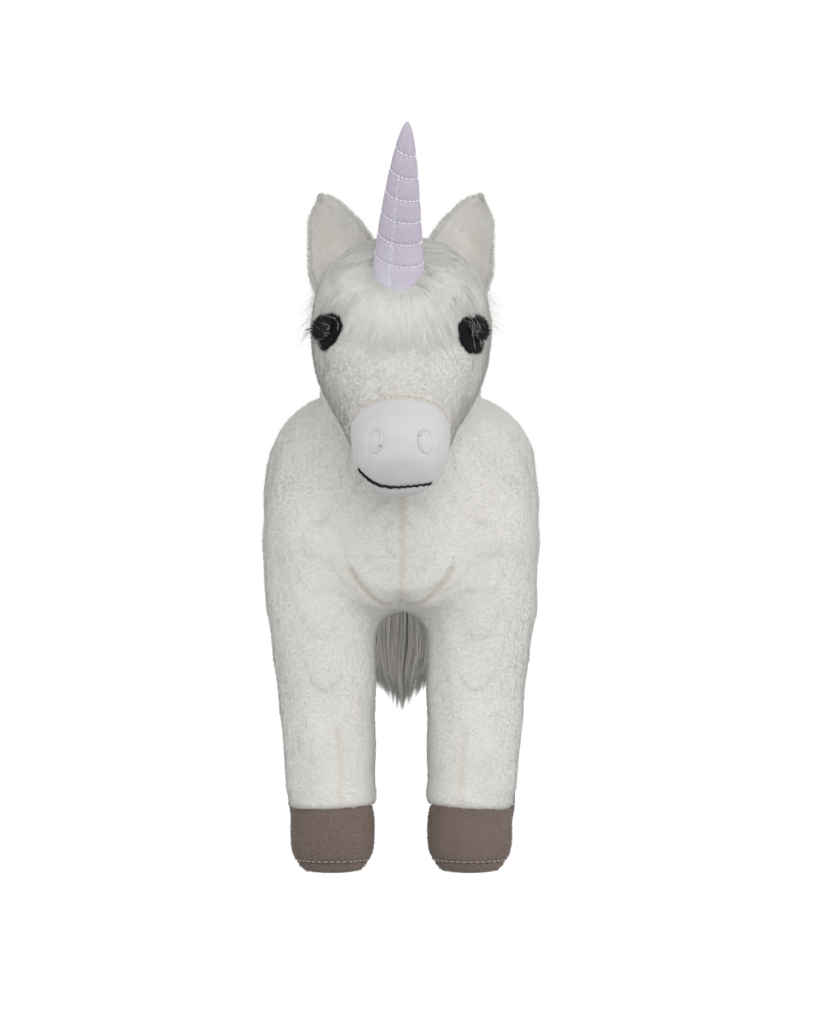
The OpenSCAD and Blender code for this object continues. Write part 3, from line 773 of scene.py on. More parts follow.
def seam_pins(co, lines, width=4 * MM):
    """How firmly the seams hold each point, from 0 to 1."""
    pins = np.zeros(len(co))
    for line, amount in lines:
        if len(line) > 1:
            pins = np.maximum(pins, min(1, amount * 1.5) * bell(distance_to_line(co, line), width))
    return pins


def round_cuffs(co):
    """Turns the foot of each leg's cloth into a soft round rim, a little higher on one side."""
    for leg, _, side in LEGS:
        away = co[:, :2] - FOOT[leg][:2]
        r = np.hypot(away[:, 0], away[:, 1])
        ring = (r > 15 * MM) & (r < 40 * MM) & (np.abs(co[:, 2] - CUFF_Z - 12 * MM) < 3 * MM)
        ankle_r = np.median(r[ring])
        low = CUFF_Z - 0.5 * MM + CUFF_TILT[side] * away[:, 0]
        core_r = np.minimum(r, ankle_r - CUFF_ROUND)
        core_z = np.maximum(co[:, 2], low + CUFF_ROUND)
        out = np.stack([r - core_r, co[:, 2] - core_z], 1)
        size = np.linalg.norm(out, axis=1)
        amount = np.clip((CUFF_Z + 12 * MM - co[:, 2]) / (7 * MM), 0, 1) * (r < 40 * MM) * (size > 1e-6)
        out *= (CUFF_ROUND / np.maximum(size, 1e-6))[:, None]
        new_r = core_r + out[:, 0]
        ground = FOOT[leg][:2] + away * (new_r / np.maximum(r, 1e-6))[:, None]
        target = np.column_stack([ground, core_z + out[:, 1]])
        co = co + (target - co) * amount[:, None]
    return co


def make_body():
    bulges = [ellipsoid((0, CHEST_Y + 0.040, 0.203), (0.050, 0.043, 0.048))]
    for _, sign in SIDES:
        bulges.append(ellipsoid((sign * 0.036, CHEST_Y + 0.085, 0.243), (0.046, 0.065, 0.048)))
    obj = cad_union("body_plush", BODY_NODES, BODY_VOXEL, bulges, cut_below=CUFF_Z + MM)
    smooth(obj.data, 30)
    co = coordinates(obj.data)
    pins = seam_pins(co, body_seams(tree_of(obj.data)))
    held = np.clip((CUFF_Z + 0.012 - co[:, 2]) / 0.008, 0, 1)
    set_coordinates(obj.data, co - vertex_normals(obj.data) * (1.5 * MM * (1 - held))[:, None])
    inflate(obj, 1.5, 5 * MM, np.maximum(pins, held))
    smooth(obj.data, 4)
    obj = subdivide(obj)
    smooth(obj.data, 3)
    co = coordinates(obj.data)
    wide = ramp(np.abs(co[:, 0]) - 0.03, 0.035) * ramp(CHEST_Y + 0.14 - co[:, 1], 0.04)
    wide *= ramp(BACK_Z - 0.03 - co[:, 2], 0.03)
    co[:, 0] += np.sign(co[:, 0]) * SIDE_SWELL * wide
    set_coordinates(obj.data, co)
    lumps(obj.data, 0.07, 0.5 * MM, 3)
    groove(obj.data, body_seams(tree_of(obj.data)), 1.3 * MM, 2.0 * MM)
    co = coordinates(obj.data)
    arch = bell(co[:, 0], ARCH_HALF) * ramp(BELLY_Z + 0.022 - co[:, 2], 0.014)
    co[:, 2] += ARCH_RISE * arch
    set_coordinates(obj.data, round_cuffs(co))
    dress(obj.data, PLUSH)
    return finish_piece(obj, "root", "white_plush", *BODY_NODES, fill=0.85)


def wavy(points, size):
    """A smooth random vector for each point."""
    draw = np.random.default_rng(11)
    out = np.zeros_like(points)
    for _ in range(8):
        wave = draw.normal(size=3) / size
        out += np.sin(points @ wave + draw.uniform(0, 6.28))[:, None] * draw.normal(size=3) / 8 ** 0.5
    return out


def body_groom(points):
    """Pile lies down and back on the body and straight down on the legs."""
    way = np.tile([0.0, 0.35, -1.0], (len(points), 1))
    legs = np.clip((BELLY_Z + 0.02 - points[:, 2]) / 0.04, 0, 1)
    way[:, 1] *= 1 - legs
    top = np.clip((points[:, 2] - BACK_Z + 0.045) / 0.03, 0, 1)
    way[:, 1] += top * 1.2
    return unit(way + 0.06 * wavy(points, 0.035))


def make_body_pile(body):
    points, normals = surface_points(body.data, 3)
    keep = np.linalg.norm(points - SKULL, axis=1) > 0.050
    keep &= ~((points[:, 2] < CUFF_Z + 2 * MM) & (normals[:, 2] < -0.7))
    points, normals = points[keep], normals[keep]
    groom = body_groom(points)
    low = points[:, 2] < BELLY_Z
    ahead = points[:, 1] < (CHEST_Y + RUMP_Y) / 2
    left = points[:, 0] > 0
    for name, part in (("leg_pile", low), ("body_pile", ~low)):
        for end, fore in (("front", ahead), ("hind", ~ahead)):
            for side, on_left in (("left", left), ("right", ~left)):
                pick = part & fore & on_left
                piece = pile(
                    f"{name}_{end}_{side}", points[pick], normals[pick], groom[pick],
                    2.2 * MM, 0.24 * MM, 0.60, FUR
                )
                finish_piece(piece, "root", "white_plush")


# ---------------------------------------------------------------- head
HEAD_VOXEL = 3 * MM
HEAD_NODES = ["head_cover_left", "head_cover_right", "forehead_gusset", "head_filling"]
MUZZLE_NODES = ["muzzle_cover", "chin_panel"]
MOUTH_OUT = -4 * MM          # the seam between muzzle and chin lies this far under the face's axis
PLUSH_PROUD = 0.7 * MM       # the face's plush stands this far over the velour
RIM_DEPTH = 0.9 * MM         # the seam around the muzzle sinks this far


def split_at(obj, point, way, name):
    """Cuts obj at a plane; the part ahead of it along way becomes a new object."""
    ahead = bpy.data.objects.new(name, obj.data.copy())
    bpy.context.scene.collection.objects.link(ahead)
    for part, clear in ((obj, {"clear_outer": True}), (ahead, {"clear_inner": True})):
        bm = bmesh.new()
        bm.from_mesh(part.data)
        everything = bm.verts[:] + bm.edges[:] + bm.faces[:]
        bmesh.ops.bisect_plane(bm, geom=everything, plane_co=Vector(point), plane_no=Vector(way), **clear)
        rim = [edge for edge in bm.edges if edge.is_boundary]
        for edge in rim:
            edge.smooth = False
        bmesh.ops.holes_fill(bm, edges=rim, sides=0)
        bm.to_mesh(part.data)
        bm.free()
    return ahead


def face_seams(tree):
    """The gusset's two seams down the face and the seam under the jaw."""
    lines = []
    for side, sign in SIDES:
        lane = [on_face(a, 0, sign * v) for a, v in ((0.012, 0.020), (0.05, 0.018), (0.092, 0.013))]
        lines.append((cast_line(tree, lane, -BROW), 0.7))
    jaw = [on_face(0.03, 0), on_face(0.06, 0), on_face(0.092, 0)]
    lines.append((cast_line(tree, jaw, BROW), 0.6))
    return lines


def make_head():
    obj = cad_union("head_plush", HEAD_NODES + MUZZLE_NODES, HEAD_VOXEL)
    smooth(obj.data, 12)
    co = coordinates(obj.data)
    seam = bell((co @ FACE) - MUZZLE_SEAM, 3 * MM)
    pins = np.maximum(seam, seam_pins(co, face_seams(tree_of(obj.data)), 3 * MM))
    set_coordinates(obj.data, co - vertex_normals(obj.data) * (1.2 * MM * (1 - seam))[:, None])
    inflate(obj, 1.5, 3 * MM, pins)
    smooth(obj.data, 2)
    obj = subdivide(obj)
    smooth(obj.data, 2)
    lumps(obj.data, 0.05, 0.35 * MM, 5)
    lumps(obj.data, 0.022, 0.2 * MM, 6)
    groove(obj.data, face_seams(tree_of(obj.data)), 0.9 * MM, 3.0 * MM)
    co = coordinates(obj.data)
    ahead = (co @ FACE) - MUZZLE_SEAM
    rim = bell(ahead, 2.2 * MM)
    proud = PLUSH_PROUD * np.where(ahead < 0, 1, 0) * (1 - rim) - RIM_DEPTH * rim
    set_coordinates(obj.data, co + vertex_normals(obj.data) * proud[:, None])
    muzzle = split_at(obj, FACE * MUZZLE_SEAM, FACE, "muzzle_velour")
    rim = bell((coordinates(obj.data) @ FACE) - MUZZLE_SEAM, 2.2 * MM)
    mark_seam_and_painted_light(obj.data, rim * 0.4)
    dress(obj.data, PLUSH)
    finish_piece(obj, "root", "white_plush", *HEAD_NODES, fill=0.85)
    return obj, muzzle


def face_groom(points):
    """Pile lies down the face and outwards over the cheeks."""
    way = np.tile(FACE, (len(points), 1))
    way[:, 0] += points[:, 0] * 8
    return unit(way + 0.05 * wavy(points, 0.03))


PATCH_HALF = (9.5 * MM, 9.2 * MM)
PATCH_PLACE = {"left": (3.5 * MM, -5.0 * MM), "right": (1.5 * MM, -2.0 * MM)}   # in and up from the eye
PATCH_TILT = {"left": 0.35, "right": -0.10}


def patch_reach(points, side, sign):
    """How far each point lies from the middle of an eye patch, in ragged patch radii."""
    inward, up = PATCH_PLACE[side]
    offset = points - EYE[side] - UP * up
    across = offset @ unit(np.array([0.55 * sign, 0.83, 0.0])) + inward
    tilt = PATCH_TILT[side]
    u = across * math.cos(tilt) - offset[:, 2] * math.sin(tilt) * sign
    v = across * math.sin(tilt) * sign + offset[:, 2] * math.cos(tilt)
    turn = np.arctan2(v, u)
    ragged = 1 + 0.07 * np.sin(3 * turn + 1.7 * sign) + 0.05 * np.sin(7 * turn + sign)
    reach = np.hypot(u / PATCH_HALF[0], v / PATCH_HALF[1]) / ragged
    return np.where(points[:, 0] * sign > 0, reach, np.inf)


def make_head_pile(head):
    points, normals = surface_points(head.data, 3)
    for side, sign in SIDES:
        keep = patch_reach(points, side, sign) > 1.0
        points, normals = points[keep], normals[keep]
    for side, sign in SIDES:
        pick = points[:, 0] * sign > 0
        groom = face_groom(points[pick])
        piece = pile(f"head_pile_{side}", points[pick], normals[pick], groom, 2.4 * MM, 0.26 * MM, 0.65, FUR)
        finish_piece(piece, "root", "white_plush")


# ---------------------------------------------------------------- muzzle, mouth and nostrils
NOSTRIL_X = 14.4 * MM
NOSTRIL_HALF = (3.9 * MM, 6.6 * MM)
NOSTRIL_OVER_NOSE = 22.5 * MM
MOUTH = [(-0.0238, 0.2422), (-0.0198, 0.2375), (-0.0140, 0.2335), (-0.0020, 0.2316), (0.0050, 0.2316),
         (0.0125, 0.2330), (0.0180, 0.2338)]
CHIN_DROP = 2.4 * MM


def nose_point():
    points = cad_points("muzzle_cover")
    return points[(points @ FACE).argmax()]


NOSE = nose_point()


def nostril_line(tree, sign, turns):
    """Oval around a nostril, laid on the muzzle from the front."""
    centre_z = NOSE[2] + NOSTRIL_OVER_NOSE
    tilt = 0.16 * sign
    points = []
    for turn in turns:
        u, v = NOSTRIL_HALF[0] * math.cos(turn), NOSTRIL_HALF[1] * math.sin(turn)
        points.append((
            sign * NOSTRIL_X + u * math.cos(tilt) - v * math.sin(tilt), 0,
            centre_z + u * math.sin(tilt) + v * math.cos(tilt)
        ))
    found = [cast(tree, np.array(p) + FRONT, -FRONT) for p in points]
    return np.array([p for p in found if p is not None])


def mouth_line(tree, steps=60):
    """The mouth, laid on the muzzle from the front."""
    x, z = np.array(MOUTH).T
    run = np.linspace(0, len(x) - 1, steps)
    bend = np.polynomial.Polynomial.fit(x, z, 4)
    across = np.interp(run, np.arange(len(x)), x)
    found = [cast(tree, np.array([a, 0, bend(a)]) + FRONT, -FRONT) for a in across]
    return np.array([p for p in found if p is not None])


def tube(name, path, radius, material, sides=8):
    """A closed tube along a path, with a radius for each point."""
    steps = len(path)
    radius = np.broadcast_to(radius, steps)
    along = unit(np.gradient(path, axis=0))
    side = unit(np.cross(along, np.where(abs(along[:, 2:]) < 0.9, UP, X)))
    across = np.cross(along, side)
    turn = np.arange(sides) * 2 * math.pi / sides
    rings = path[:, None] + radius[:, None, None] * (
        np.cos(turn)[:, None] * side[:, None] + np.sin(turn)[:, None] * across[:, None]
    )
    faces = [
        (r * sides + k, r * sides + (k + 1) % sides, (r + 1) * sides + (k + 1) % sides, (r + 1) * sides + k)
        for r in range(steps - 1) for k in range(sides)
    ]
    ends = [tuple(range(sides))[::-1], tuple(range((steps - 1) * sides, steps * sides))]
    return new_object(name, mesh_from(name, rings.reshape(-1, 3), faces + ends), material)


def finish_muzzle(muzzle):
    mesh = muzzle.data
    tree = tree_of(mesh)
    whole = np.linspace(0, 2 * math.pi, 40)
    rings = [nostril_line(tree, sign, whole) for _, sign in SIDES]
    seam = mouth_line(tree)
    groove(mesh, [(ring, 0.8) for ring in rings] + [(seam, 1.0)], 0.9 * MM, 1.3 * MM)
    co = coordinates(mesh)
    for _, sign in SIDES:
        heart = np.array([sign * NOSTRIL_X, 0, NOSE[2] + NOSTRIL_OVER_NOSE])
        reach = np.hypot((co[:, 0] - heart[0]) / NOSTRIL_HALF[0], (co[:, 2] - heart[2]) / NOSTRIL_HALF[1])
        co -= vertex_normals(mesh) * (0.5 * MM * np.exp(-(reach / 0.8) ** 4))[:, None]
    mouth_z = np.interp(co[:, 0], *np.array(MOUTH).T)
    co[:, 2] -= CHIN_DROP * ramp(mouth_z - co[:, 2], 8 * MM)
    set_coordinates(mesh, co)
    mark_seam_and_painted_light(mesh, 0.4 * bell((co @ FACE) - MUZZLE_SEAM, 1.6 * MM))
    dress(mesh, VELOUR)
    tree = tree_of(mesh)
    chin = split_at(muzzle, on_face(0, MOUTH_OUT), -BROW, "chin_velour")
    finish_piece(muzzle, "root", "muzzle_velour", "muzzle_cover", fill=0.9)
    finish_piece(chin, "root", "muzzle_velour", "chin_panel", fill=0.9)
    return tree


def stitches(name, path, normals, pitch, radius, fill, material, lift=0.3):
    """Separate stitches along a path that lies on a surface."""
    step = np.linalg.norm(np.diff(path, axis=0), axis=1)
    run = np.concatenate([[0], np.cumsum(step)])
    count = int(run[-1] / pitch)
    shape = np.array([0.0, 0.2, 0.5, 0.8, 1.0])
    bulge = np.array([0.35, 0.85, 1.0, 0.85, 0.35])
    where = (np.arange(count)[:, None] + 0.5 - fill / 2 + fill * shape) * pitch
    at = np.stack([np.interp(where, run, path[:, k]) for k in range(3)], 2)
    out = unit(np.stack([np.interp(where, run, normals[:, k]) for k in range(3)], 2))
    spots = at + out * (radius * (lift + 0.5 * np.sin(shape * math.pi)))[None, :, None]
    sides = 6
    points, faces = [], []
    for line, way in zip(spots, out):
        along = unit(np.gradient(line, axis=0))
        side = unit(np.cross(along, way))
        base = len(points)
        for centre, s, n, r in zip(line, side, way, bulge * radius):
            for k in range(sides):
                turn = k * 2 * math.pi / sides
                points.append(centre + r * (math.cos(turn) * s + math.sin(turn) * n))
        for ring in range(len(shape) - 1):
            for k in range(sides):
                a, b = base + ring * sides + k, base + ring * sides + (k + 1) % sides
                faces.append((a, b, b + sides, a + sides))
        faces.append(tuple(range(base, base + sides))[::-1])
        faces.append(tuple(range(base + (len(shape) - 1) * sides, base + len(shape) * sides)))
    return new_object(name, mesh_from(name, points, faces), material)


def make_muzzle_trim(tree):
    mouth = mouth_line(tree, steps=90)
    out = normals_near(tree, mouth)
    wobble = 0.25 * MM * np.sin(np.arange(len(mouth)) * 0.9) + 0.15 * MM * np.sin(np.arange(len(mouth)) * 2.3)
    mouth = mouth + out * 0.25 * MM + UP * wobble[:, None]
    run = np.linspace(0, 1, len(mouth))
    thick = 0.55 * MM + 0.45 * MM * bell(run - 0.30, 0.18) + 0.1 * MM * np.sin(run * 60)
    thick *= np.clip(run / 0.06, 0.4, 1) * np.clip((1 - run) / 0.08, 0.4, 1)
    piece = tube("mouth_embroidery_stitched", mouth, thick, MOUTH_THREAD)
    finish_piece(piece, "root", "black_embroidery", "mouth_embroidery")
    strands_on = stitches("mouth_stitches", mouth, out, 1.4 * MM, 0.62 * MM, 0.95, MOUTH_THREAD, 0.4)
    finish_piece(strands_on, "root", "black_embroidery")
    for side, sign in SIDES:
        turns = np.linspace(math.radians(-150), math.radians(150), 50)
        line = nostril_line(tree, sign, turns if sign < 0 else turns + math.pi)
        out = normals_near(tree, line)
        taper = np.clip(np.sin(np.linspace(0.12, math.pi - 0.12, len(line))), 0.3, 1)
        piece = tube(f"nostril_thread_{side}", line + out * 0.15 * MM, 1.15 * MM * taper, WHITE_THREAD)
        finish_piece(piece, "root", "white_embroidery", f"nostril_embroidery_{side}")


def make_muzzle_stitches(head):
    """Thread that shows between the face's plush and the velour."""
    tree = tree_of(head.data)
    points = []
    for turn in np.linspace(math.radians(-200), math.radians(20), 90):
        way = X * math.cos(turn) - BROW * math.sin(turn)
        hit = cast(tree, FACE * (MUZZLE_SEAM - 0.8 * MM) + (SKULL - FACE * (SKULL @ FACE)) + way, -way)
        if hit is not None:
            points.append(hit)
    path = np.array(points)
    out = nearest(tree, path)[1]
    piece = stitches("muzzle_seam_thread", path, out, 3.6 * MM, 0.35 * MM, 0.55, SEAM_THREAD)
    finish_piece(piece, "root", "white_plush")


# ---------------------------------------------------------------- eyes
def make_eyes(head):
    tree = tree_of(head.data)
    for side, sign in SIDES:
        paint(frame["nodes"][f"eye_{side}"].data, EYE_GLOSS)
        bm = bmesh.new()
        bm.from_mesh(head.data)
        co = coordinates(head.data)
        reach = patch_reach(co, side, sign)
        bm.verts.ensure_lookup_table()
        outside = [v for v in bm.verts if reach[v.index] > 1.0]
        bmesh.ops.delete(bm, geom=outside, context="VERTS")
        mesh = bpy.data.meshes.new("patch")
        bm.to_mesh(mesh)
        bm.free()
        patch = new_object(f"eye_patch_{side}_pile", mesh, BLACK_PILE)
        set_coordinates(mesh, coordinates(mesh) + vertex_normals(mesh) * 1.2 * MM)
        thick = patch.modifiers.new("thick", "SOLIDIFY")
        thick.thickness = 1.0 * MM
        thick.offset = 0
        baked(patch)
        finish_piece(patch, "root", "black_pile", f"eye_patch_{side}")
        spikes(head, tree, side, sign)


def spikes(head, tree, side, sign):
    """Ragged black pile over the patch, and white hairs that stray across it."""
    points, normals = surface_points(head.data, 26)
    reach = patch_reach(points, side, sign)
    pick = reach < 1.0
    points, normals, reach = points[pick], normals[pick], reach[pick]
    dome, dome_normals = dome_points(side, sign, tree)
    points, normals = np.concatenate([points, dome]), np.concatenate([normals, dome_normals])
    outward = unit(points - EYE[side]) + 0.9 * rng.normal(size=points.shape)
    fur = pile(f"eye_pile_{side}", points, normals, outward, 3.6 * MM, 0.26 * MM, 0.4, BLACK_FUR, 0.35)
    finish_piece(fur, "root", "black_pile")
    count = 34 if sign > 0 else 9
    normal = unit(normals_near(tree, [EYE[side]]))[0]
    east = unit(np.cross(normal, UP))
    north = np.cross(east, normal)
    turn = rng.normal(1.1 if sign > 0 else 0.7, 0.55, count)
    way = np.cos(turn)[:, None] * east + np.sin(turn)[:, None] * north
    across = np.cross(normal, way)
    start = EYE[side] + across * rng.uniform(-9, 9, count)[:, None] * MM
    start = start - way * rng.uniform(3, 12, count)[:, None] * MM
    length = rng.uniform(6, 17, count)
    t = np.linspace(0, 1, 6)
    sway = rng.normal(0, 1.2, count)
    paths = start[:, None] + way[:, None] * (t[None, :, None] * length[:, None, None] * MM)
    paths = paths + across[:, None] * (sway[:, None, None] * MM * np.sin(t * math.pi)[None, :, None])
    flat = paths.reshape(-1, 3)
    foot, out = nearest(tree, flat)
    dome = np.clip(1 - (np.linalg.norm(foot - foot_of(tree, EYE[side]), axis=1) / (9 * MM)) ** 2, 0, 1)
    height = 3.0 * MM + 5.0 * MM * dome
    paths = (foot + out * height[:, None]).reshape(count, 6, 3)
    widths = np.tile(np.linspace(0.08, 0.04, 6) * MM, (count, 1))
    stray = strands(f"eye_white_hairs_{side}", paths, widths, rng.random(count), HAIR)
    finish_piece(stray, "root", "long_pile")


def dome_points(side, sign, tree, count=900, reach=7.2 * MM, clear=1.5 * MM):
    """Roots of fibres over the eye's dome, apart from the spot that shines."""
    eye = frame["nodes"][f"eye_{side}"].data
    eye_tree = tree_of(eye)
    normal = normals_near(tree, [EYE[side]])[0]
    east = unit(np.cross(normal, UP))
    north = np.cross(east, normal)
    turn = rng.uniform(0, 2 * math.pi, count)
    away = reach * np.sqrt(rng.random(count))
    spots = times(away * np.cos(turn), east) + times(away * np.sin(turn), north)
    shine = 3 * MM * unit(FRONT + 0.25 * UP)
    spots = spots[np.linalg.norm(spots - shine + normal * (shine @ normal), axis=1) > clear]
    found = [eye_tree.ray_cast(Vector(EYE[side] + normal * 0.03 + spot), Vector(-normal)) for spot in spots]
    found = [hit for hit in found if hit[0] is not None]
    return np.array([hit[0] for hit in found]), np.array([hit[1] for hit in found])


def foot_of(tree, point):
    return np.array(tree.find_nearest(Vector(point))[0])


def make_lash(tree):
    """The one black fibre that stands out at the right eye."""
    start = EYE["right"] + np.array([-4, 2, 1]) * MM
    t = np.linspace(0, 1, 6)[:, None]
    path = start + t * np.array([-10, -1, -2.0]) * MM + UP * np.sin(t * math.pi) * 0.6 * MM
    path = path[None]
    lash = strands("eye_lash_right", path, np.full((1, 6), 0.35 * MM), np.array([0.5]), BLACK_FUR, 5)
    finish_piece(lash, "root", "black_pile")


# ---------------------------------------------------------------- horn
HORN_TAPER = 0.55
HORN_TURNS = 6
HORN_STITCHED = (0.86, 0.09)
HORN_BURY = 14 * MM
HORN_BEND = 5.5 * MM
HORN_SEAM_TURN = math.radians(250)
HORN_FOOT = 9 * MM           # hair climbs this far up the sides of the horn's foot
HORN_DENT = 0.75 * MM        # the quilting thread sinks this far


def horn_point(up, turn, out=0.0):
    """A point on the horn: up is its height and turn its angle around, 270 degrees being the front."""
    share = np.clip(up / HORN_LEN, -1, 1)
    radius = HORN_R * np.clip(1 - share, 0, 1) ** HORN_TAPER
    radius = np.where(up < 0, HORN_R, radius) + out
    lean = np.maximum(share, 0) ** 1.5 * HORN_BEND
    centre = HORN_BASE + X * HORN_OFF + times(up, HORN_WAY) + times(lean, X)
    spoke = times(np.cos(turn), X) - times(np.sin(turn), HORN_FRONT)
    return centre + radius[..., None] * spoke


def stitch_gap(up, turn):
    """Distance up the horn from a point to the nearest turn of the quilting thread."""
    high, low = (HORN_LEN * s for s in HORN_STITCHED)
    pitch = (high - low) / HORN_TURNS
    phase = ((turn - math.pi) / (2 * math.pi)) % 1.0
    steps = (high - up) / pitch - phase
    gap = abs(steps - np.round(steps)) * pitch
    wound = np.round(steps) + phase
    return np.where((wound < -0.01) | (wound > HORN_TURNS + 0.01), 1.0, gap)


def make_horn():
    rows, cols = 260, 96
    buried = np.linspace(-HORN_BURY, 0, 16)[:-1]
    up = np.concatenate([buried, HORN_LEN * (1 - np.linspace(1, 0, rows) ** 1.6)])
    turn = np.arange(cols) * 2 * math.pi / cols
    ups, turns = np.meshgrid(up, turn, indexing="ij")
    below_tip = ramp(HORN_LEN - ups, 0.02)
    dent = -HORN_DENT * bell(stitch_gap(ups, turns), 1.7 * MM) * below_tip
    off_seam = np.abs((turns - HORN_SEAM_TURN + math.pi) % (2 * math.pi) - math.pi) * HORN_R
    ridge = 0.35 * MM * bell(off_seam, 0.9 * MM) - 0.35 * MM * bell(off_seam - 2 * MM, MM)
    pucker = 0.12 * MM * np.sin(turns * 23 + ups * 900)
    points = horn_point(ups, turns, dent + (ridge + pucker) * below_tip)
    count = len(up)
    faces = ring_faces(count - 1, cols)
    flat = list(points[:-1].reshape(-1, 3)) + [points[-1].mean(0)]
    tip = len(flat) - 1
    faces += [((count - 2) * cols + k, (count - 2) * cols + (k + 1) % cols, tip) for k in range(cols)]
    faces.append(tuple(range(cols))[::-1])
    mesh = mesh_from("horn_quilted", flat, faces)
    horn = new_object("horn_quilted", mesh, HORN)
    height = np.append(np.clip(ups[:-1] / HORN_LEN, 0, 1).ravel(), 1)
    seam = np.append(bell(off_seam[:-1], 1.6 * MM).ravel(), 0)
    mesh.attributes.new("height", "FLOAT", "POINT").data.foreach_set("value", height.astype(np.float32))
    mark_seam_and_painted_light(mesh, seam)
    finish_piece(horn, "root", "horn_satin", "horn_cover", "horn_filling", fill=0.95)
    path = np.linspace(0, 1, 1400)
    ups = HORN_LEN * (HORN_STITCHED[0] + (HORN_STITCHED[1] - HORN_STITCHED[0]) * path)
    turns = math.pi + 2 * math.pi * HORN_TURNS * path
    line = horn_point(ups, turns, np.full(len(path), -HORN_DENT))
    out = unit(times(np.cos(turns), X) - times(np.sin(turns), HORN_FRONT))
    thread = stitches("horn_stitches", line, out, 2.6 * MM, 0.55 * MM, 0.86, THREAD, 0.6)
    finish_piece(thread, "root", "quilting_thread", "horn_stitching")


# ---------------------------------------------------------------- ears
EAR_H = 27 * MM
EAR_CUP = 7 * MM
EAR_ROUND = 0.80             # the ear rounds off to its tip from this share of its height
EAR_FORWARD = 13 * MM        # the ear's foot stands this far ahead of its fold
EAR_SHOWN = -0.35            # below this share of its height the ear sinks into the head
EAR_THICK = 3.4 * MM
EAR_PROUD = 4 * MM           # the draped foot stands this far over the head
EAR_ROOT = 0.60              # the ear's foot reaches this share of its height into the skull


def ear_ways(sign):
    slope = math.sqrt(0.5)
    return np.array([sign * slope, 0, slope]), np.array([-sign * slope, 0, slope])


def ear_edges(t):
    """Outer and inner edge of an ear, across it: the outer one rises straight up beside the head."""
    outer = -18 * MM + EAR_H * np.maximum(t, 0) + 0.54 * EAR_H * np.minimum(t, 0)
    outer += 7 * MM * np.clip((t - 0.75) / 0.25, 0, 1) ** 2
    inner = 23.5 * MM + 5 * MM * np.minimum(t, 0) - 3.5 * MM * np.clip((t - 0.5) / 0.5, 0, 1) ** 2
    tip = np.sqrt(1 - np.clip((t - EAR_ROUND) / (1 - EAR_ROUND), 0, 1) ** 2)
    centre = outer + 0.62 * (inner - outer)
    return centre - tip * (centre - outer), centre + tip * (inner - centre)


def ear_point(sign, t, q, depth):
    """A point of an ear's sheet: t runs from its fold to its tip and q from its outer to its inner edge."""
    out, fold = ear_ways(sign)
    outer, inner = ear_edges(t)
    cup = EAR_CUP * (1 - q ** 2) * np.clip(1.15 - t, 0, 1) - EAR_CUP * 0.45
    place = HINGES["ear_left"] * [sign, 1, 1]
    return (
        place + times(EAR_H * t, out) + times((outer + inner + q * (inner - outer)) / 2, fold)
        + times(cup + depth - EAR_FORWARD * (1 - 0.5 * np.clip(t, 0, 1)), np.array([0.0, 1.0, 0.0]))
    )


def drape(tree, points, t, depth):
    """Brings the ear's foot forward over the head, where it stands in front and then sinks in."""
    sink = 10 * MM * np.clip((EAR_SHOWN - t) / 0.15, 0, 1) - EAR_PROUD
    flat = points.reshape(-1, 3)
    for k, (low, deep) in enumerate(zip(sink.ravel(), depth.ravel())):
        hit = cast(tree, flat[k] * [1, 0, 1] + FRONT, -FRONT)
        if hit is not None:
            flat[k, 1] = min(flat[k, 1], hit[1] + low + deep)
    return flat


def ear_sheet(name, sign, front, back, low, inset, material, tree):
    """A closed sheet between two depths."""
    rows, cols = 40, 44
    t = np.linspace(low, 1 - inset * 0.5, rows)
    q = np.linspace(-1 + inset, 1 - inset, cols)
    ts, qs = np.meshgrid(t, q, indexing="ij")
    edge = np.clip(1 - np.abs(qs / (1 - inset)) ** 6, 0, 1) * np.clip((1 - ts) / 0.12, 0, 1) ** 0.5
    middle_depth = (front + back) / 2
    front_depth = middle_depth + (front - middle_depth) * (0.35 + 0.65 * edge)
    back_depth = middle_depth + (back - middle_depth) * (0.35 + 0.65 * edge)
    near = drape(tree, ear_point(sign, ts, qs, front_depth), ts, front_depth)
    far = drape(tree, ear_point(sign, ts, qs, back_depth), ts, back_depth)
    points = np.concatenate([near, far])
    shift = rows * cols

    def grid(k, flip):
        out = []
        for r in range(rows - 1):
            for c in range(cols - 1):
                a = k + r * cols + c
                face = (a, a + 1, a + cols + 1, a + cols)
                out.append(face[::-1] if flip else face)
        return out

    border = [c for c in range(cols)] + [r * cols + cols - 1 for r in range(1, rows)]
    border += [(rows - 1) * cols + c for c in range(cols - 2, -1, -1)]
    border += [r * cols for r in range(rows - 2, 0, -1)]
    walls = [(a, b, b + shift, a + shift) for a, b in zip(border, border[1:] + border[:1])]
    mesh = mesh_from(name, points, grid(0, False) + grid(shift, True) + walls)
    bm = bmesh.new()
    bm.from_mesh(mesh)
    bmesh.ops.recalc_face_normals(bm, faces=bm.faces)
    bm.to_mesh(mesh)
    bm.free()
    return new_object(name, mesh, material)


def bend_with_ear(obj):
    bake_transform(obj)


